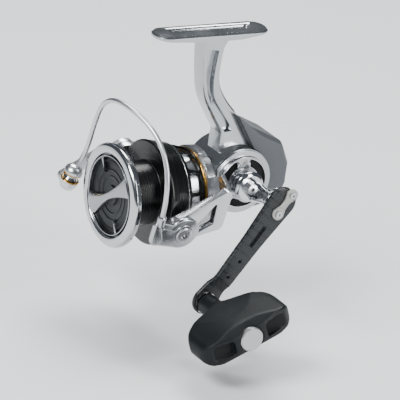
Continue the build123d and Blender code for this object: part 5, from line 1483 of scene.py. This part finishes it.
# ---------------------------------------------------------------- studio
@dataclass
class Studio:
    """Pale floor, three soft lights, a grey world and the camera."""

    azimuth: float = 56.71
    elevation: float = 21.38
    roll: float = -7.82
    aside: float = 12.87
    above: float = 7.86
    distance: float = 2000.0
    lens: float = 363.06
    floor_drop: float = 14.0
    floor_reach: float = 4.0

    def camera(self) -> None:
        """Sets the camera by azimuth, elevation and roll, looking at the spool's nose from 2 m away.

        The camera's right, up and back directions are the rows of a turn by azimuth and elevation, turned
        again by the roll. Its place is where the spool's axis passes the drive axis, less the turned
        (aside, above, -distance).
        """
        a, e, roll = (math.radians(v) for v in (self.azimuth, self.elevation, self.roll))
        rows = np.array([
            [math.cos(a), math.sin(a), 0.0],
            [-math.sin(a) * math.sin(e), math.cos(a) * math.sin(e), math.cos(e)],
            [math.sin(a) * math.cos(e), -math.cos(a) * math.cos(e), math.sin(e)],
        ])
        c, s = math.cos(roll), math.sin(roll)
        rows = np.array([[c, -s, 0.0], [s, c, 0.0], [0.0, 0.0, 1.0]]) @ rows
        spot = -rows.T @ np.array([self.aside, self.above, -self.distance]) + np.array(
            [0.0, DRIVE_Y, AXIS_Z]
        )
        data = bpy.data.cameras.new("camera")
        data.lens, data.sensor_width, data.clip_end = self.lens, 36.0, 20.0
        eye = bpy.data.objects.new("camera", data)
        eye.matrix_world = Matrix.Translation(Vector(spot * MM)) @ Matrix(rows.T.tolist()).to_4x4()
        bpy.context.scene.collection.objects.link(eye)
        bpy.context.scene.camera = eye

    def floor(self, lowest: float) -> None:
        """A pale floor a little under the lowest point, wide enough to fill the view.

        Args:
            lowest: Height of the reel's lowest point, in metres.
        """
        height = lowest / MM - self.floor_drop
        ways = np.array([[-1.0, -1.0], [1.0, -1.0], [1.0, 1.0], [-1.0, 1.0]]) * self.floor_reach / MM
        corners = np.column_stack([ways, np.full(4, height)])
        piece = mesh_object("floor", corners, [(0, 1, 2, 3)])
        material = bpy.data.materials.new("pale_floor")
        material.use_nodes = True
        shader = material.node_tree.nodes["Principled BSDF"]
        shader.inputs["Base Color"].default_value = linear("#dfe1e3")
        shader.inputs["Roughness"].default_value = 0.9
        piece.data.materials.append(material)
        piece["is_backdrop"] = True

    def light(
        self, name: str, place: tuple[float, float, float], size: tuple[float, float], power: float
    ) -> None:
        """One rectangular soft light aimed at the reel's middle.

        Args:
            name: The light's name.
            place: Where it hangs, in metres.
            size: Its sides, in metres.
            power: In watts.
        """
        data = bpy.data.lights.new(name, "AREA")
        data.shape, data.size, data.size_y, data.energy = "RECTANGLE", *size, power
        lamp = bpy.data.objects.new(name, data)
        lamp.location = place
        aim = Vector((0.0, 0.0, -0.07)) - Vector(place)
        lamp.rotation_euler = aim.to_track_quat("-Z", "Y").to_euler()
        bpy.context.scene.collection.objects.link(lamp)

    def build(self, lowest: float) -> None:
        """Everything the reel stands in.

        Args:
            lowest: Height of the reel's lowest point, in metres.
        """
        self.camera()
        self.floor(lowest)
        self.light("key_light", (0.32, -1.05, 1.00), (0.7, 0.5), 30.0)
        self.light("side_light", (0.95, 0.50, 0.40), (0.25, 0.9), 13.0)
        self.light("top_light", (-0.45, 0.35, 1.05), (0.8, 0.5), 22.0)
        world = bpy.data.worlds.new("studio")
        world.use_nodes = True
        world.node_tree.nodes["Background"].inputs["Color"].default_value = linear("#7f868e")
        world.node_tree.nodes["Background"].inputs["Strength"].default_value = 0.45
        bpy.context.scene.world = world


def dress_frame(frame: Frame) -> None:
    """Gives every frame node the finish of what it is made of.

    Args:
        frame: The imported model.
    """
    for coat, names in DRESS.items():
        for name in names.split():
            wear(frame["nodes"][name], coat)


def main() -> None:
    """Builds the reel round its frame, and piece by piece."""
    logging.basicConfig(level=logging.INFO, format="%(message)s")
    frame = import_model()
    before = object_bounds()
    dress_frame(frame)
    SpoolGroup().build()
    DragKnob().build()
    BailGroup().build(frame)
    HandleGroup().build(frame)
    Castings().build(frame)
    Studio().build(before[0].z)


if __name__ == "__main__":
    main()
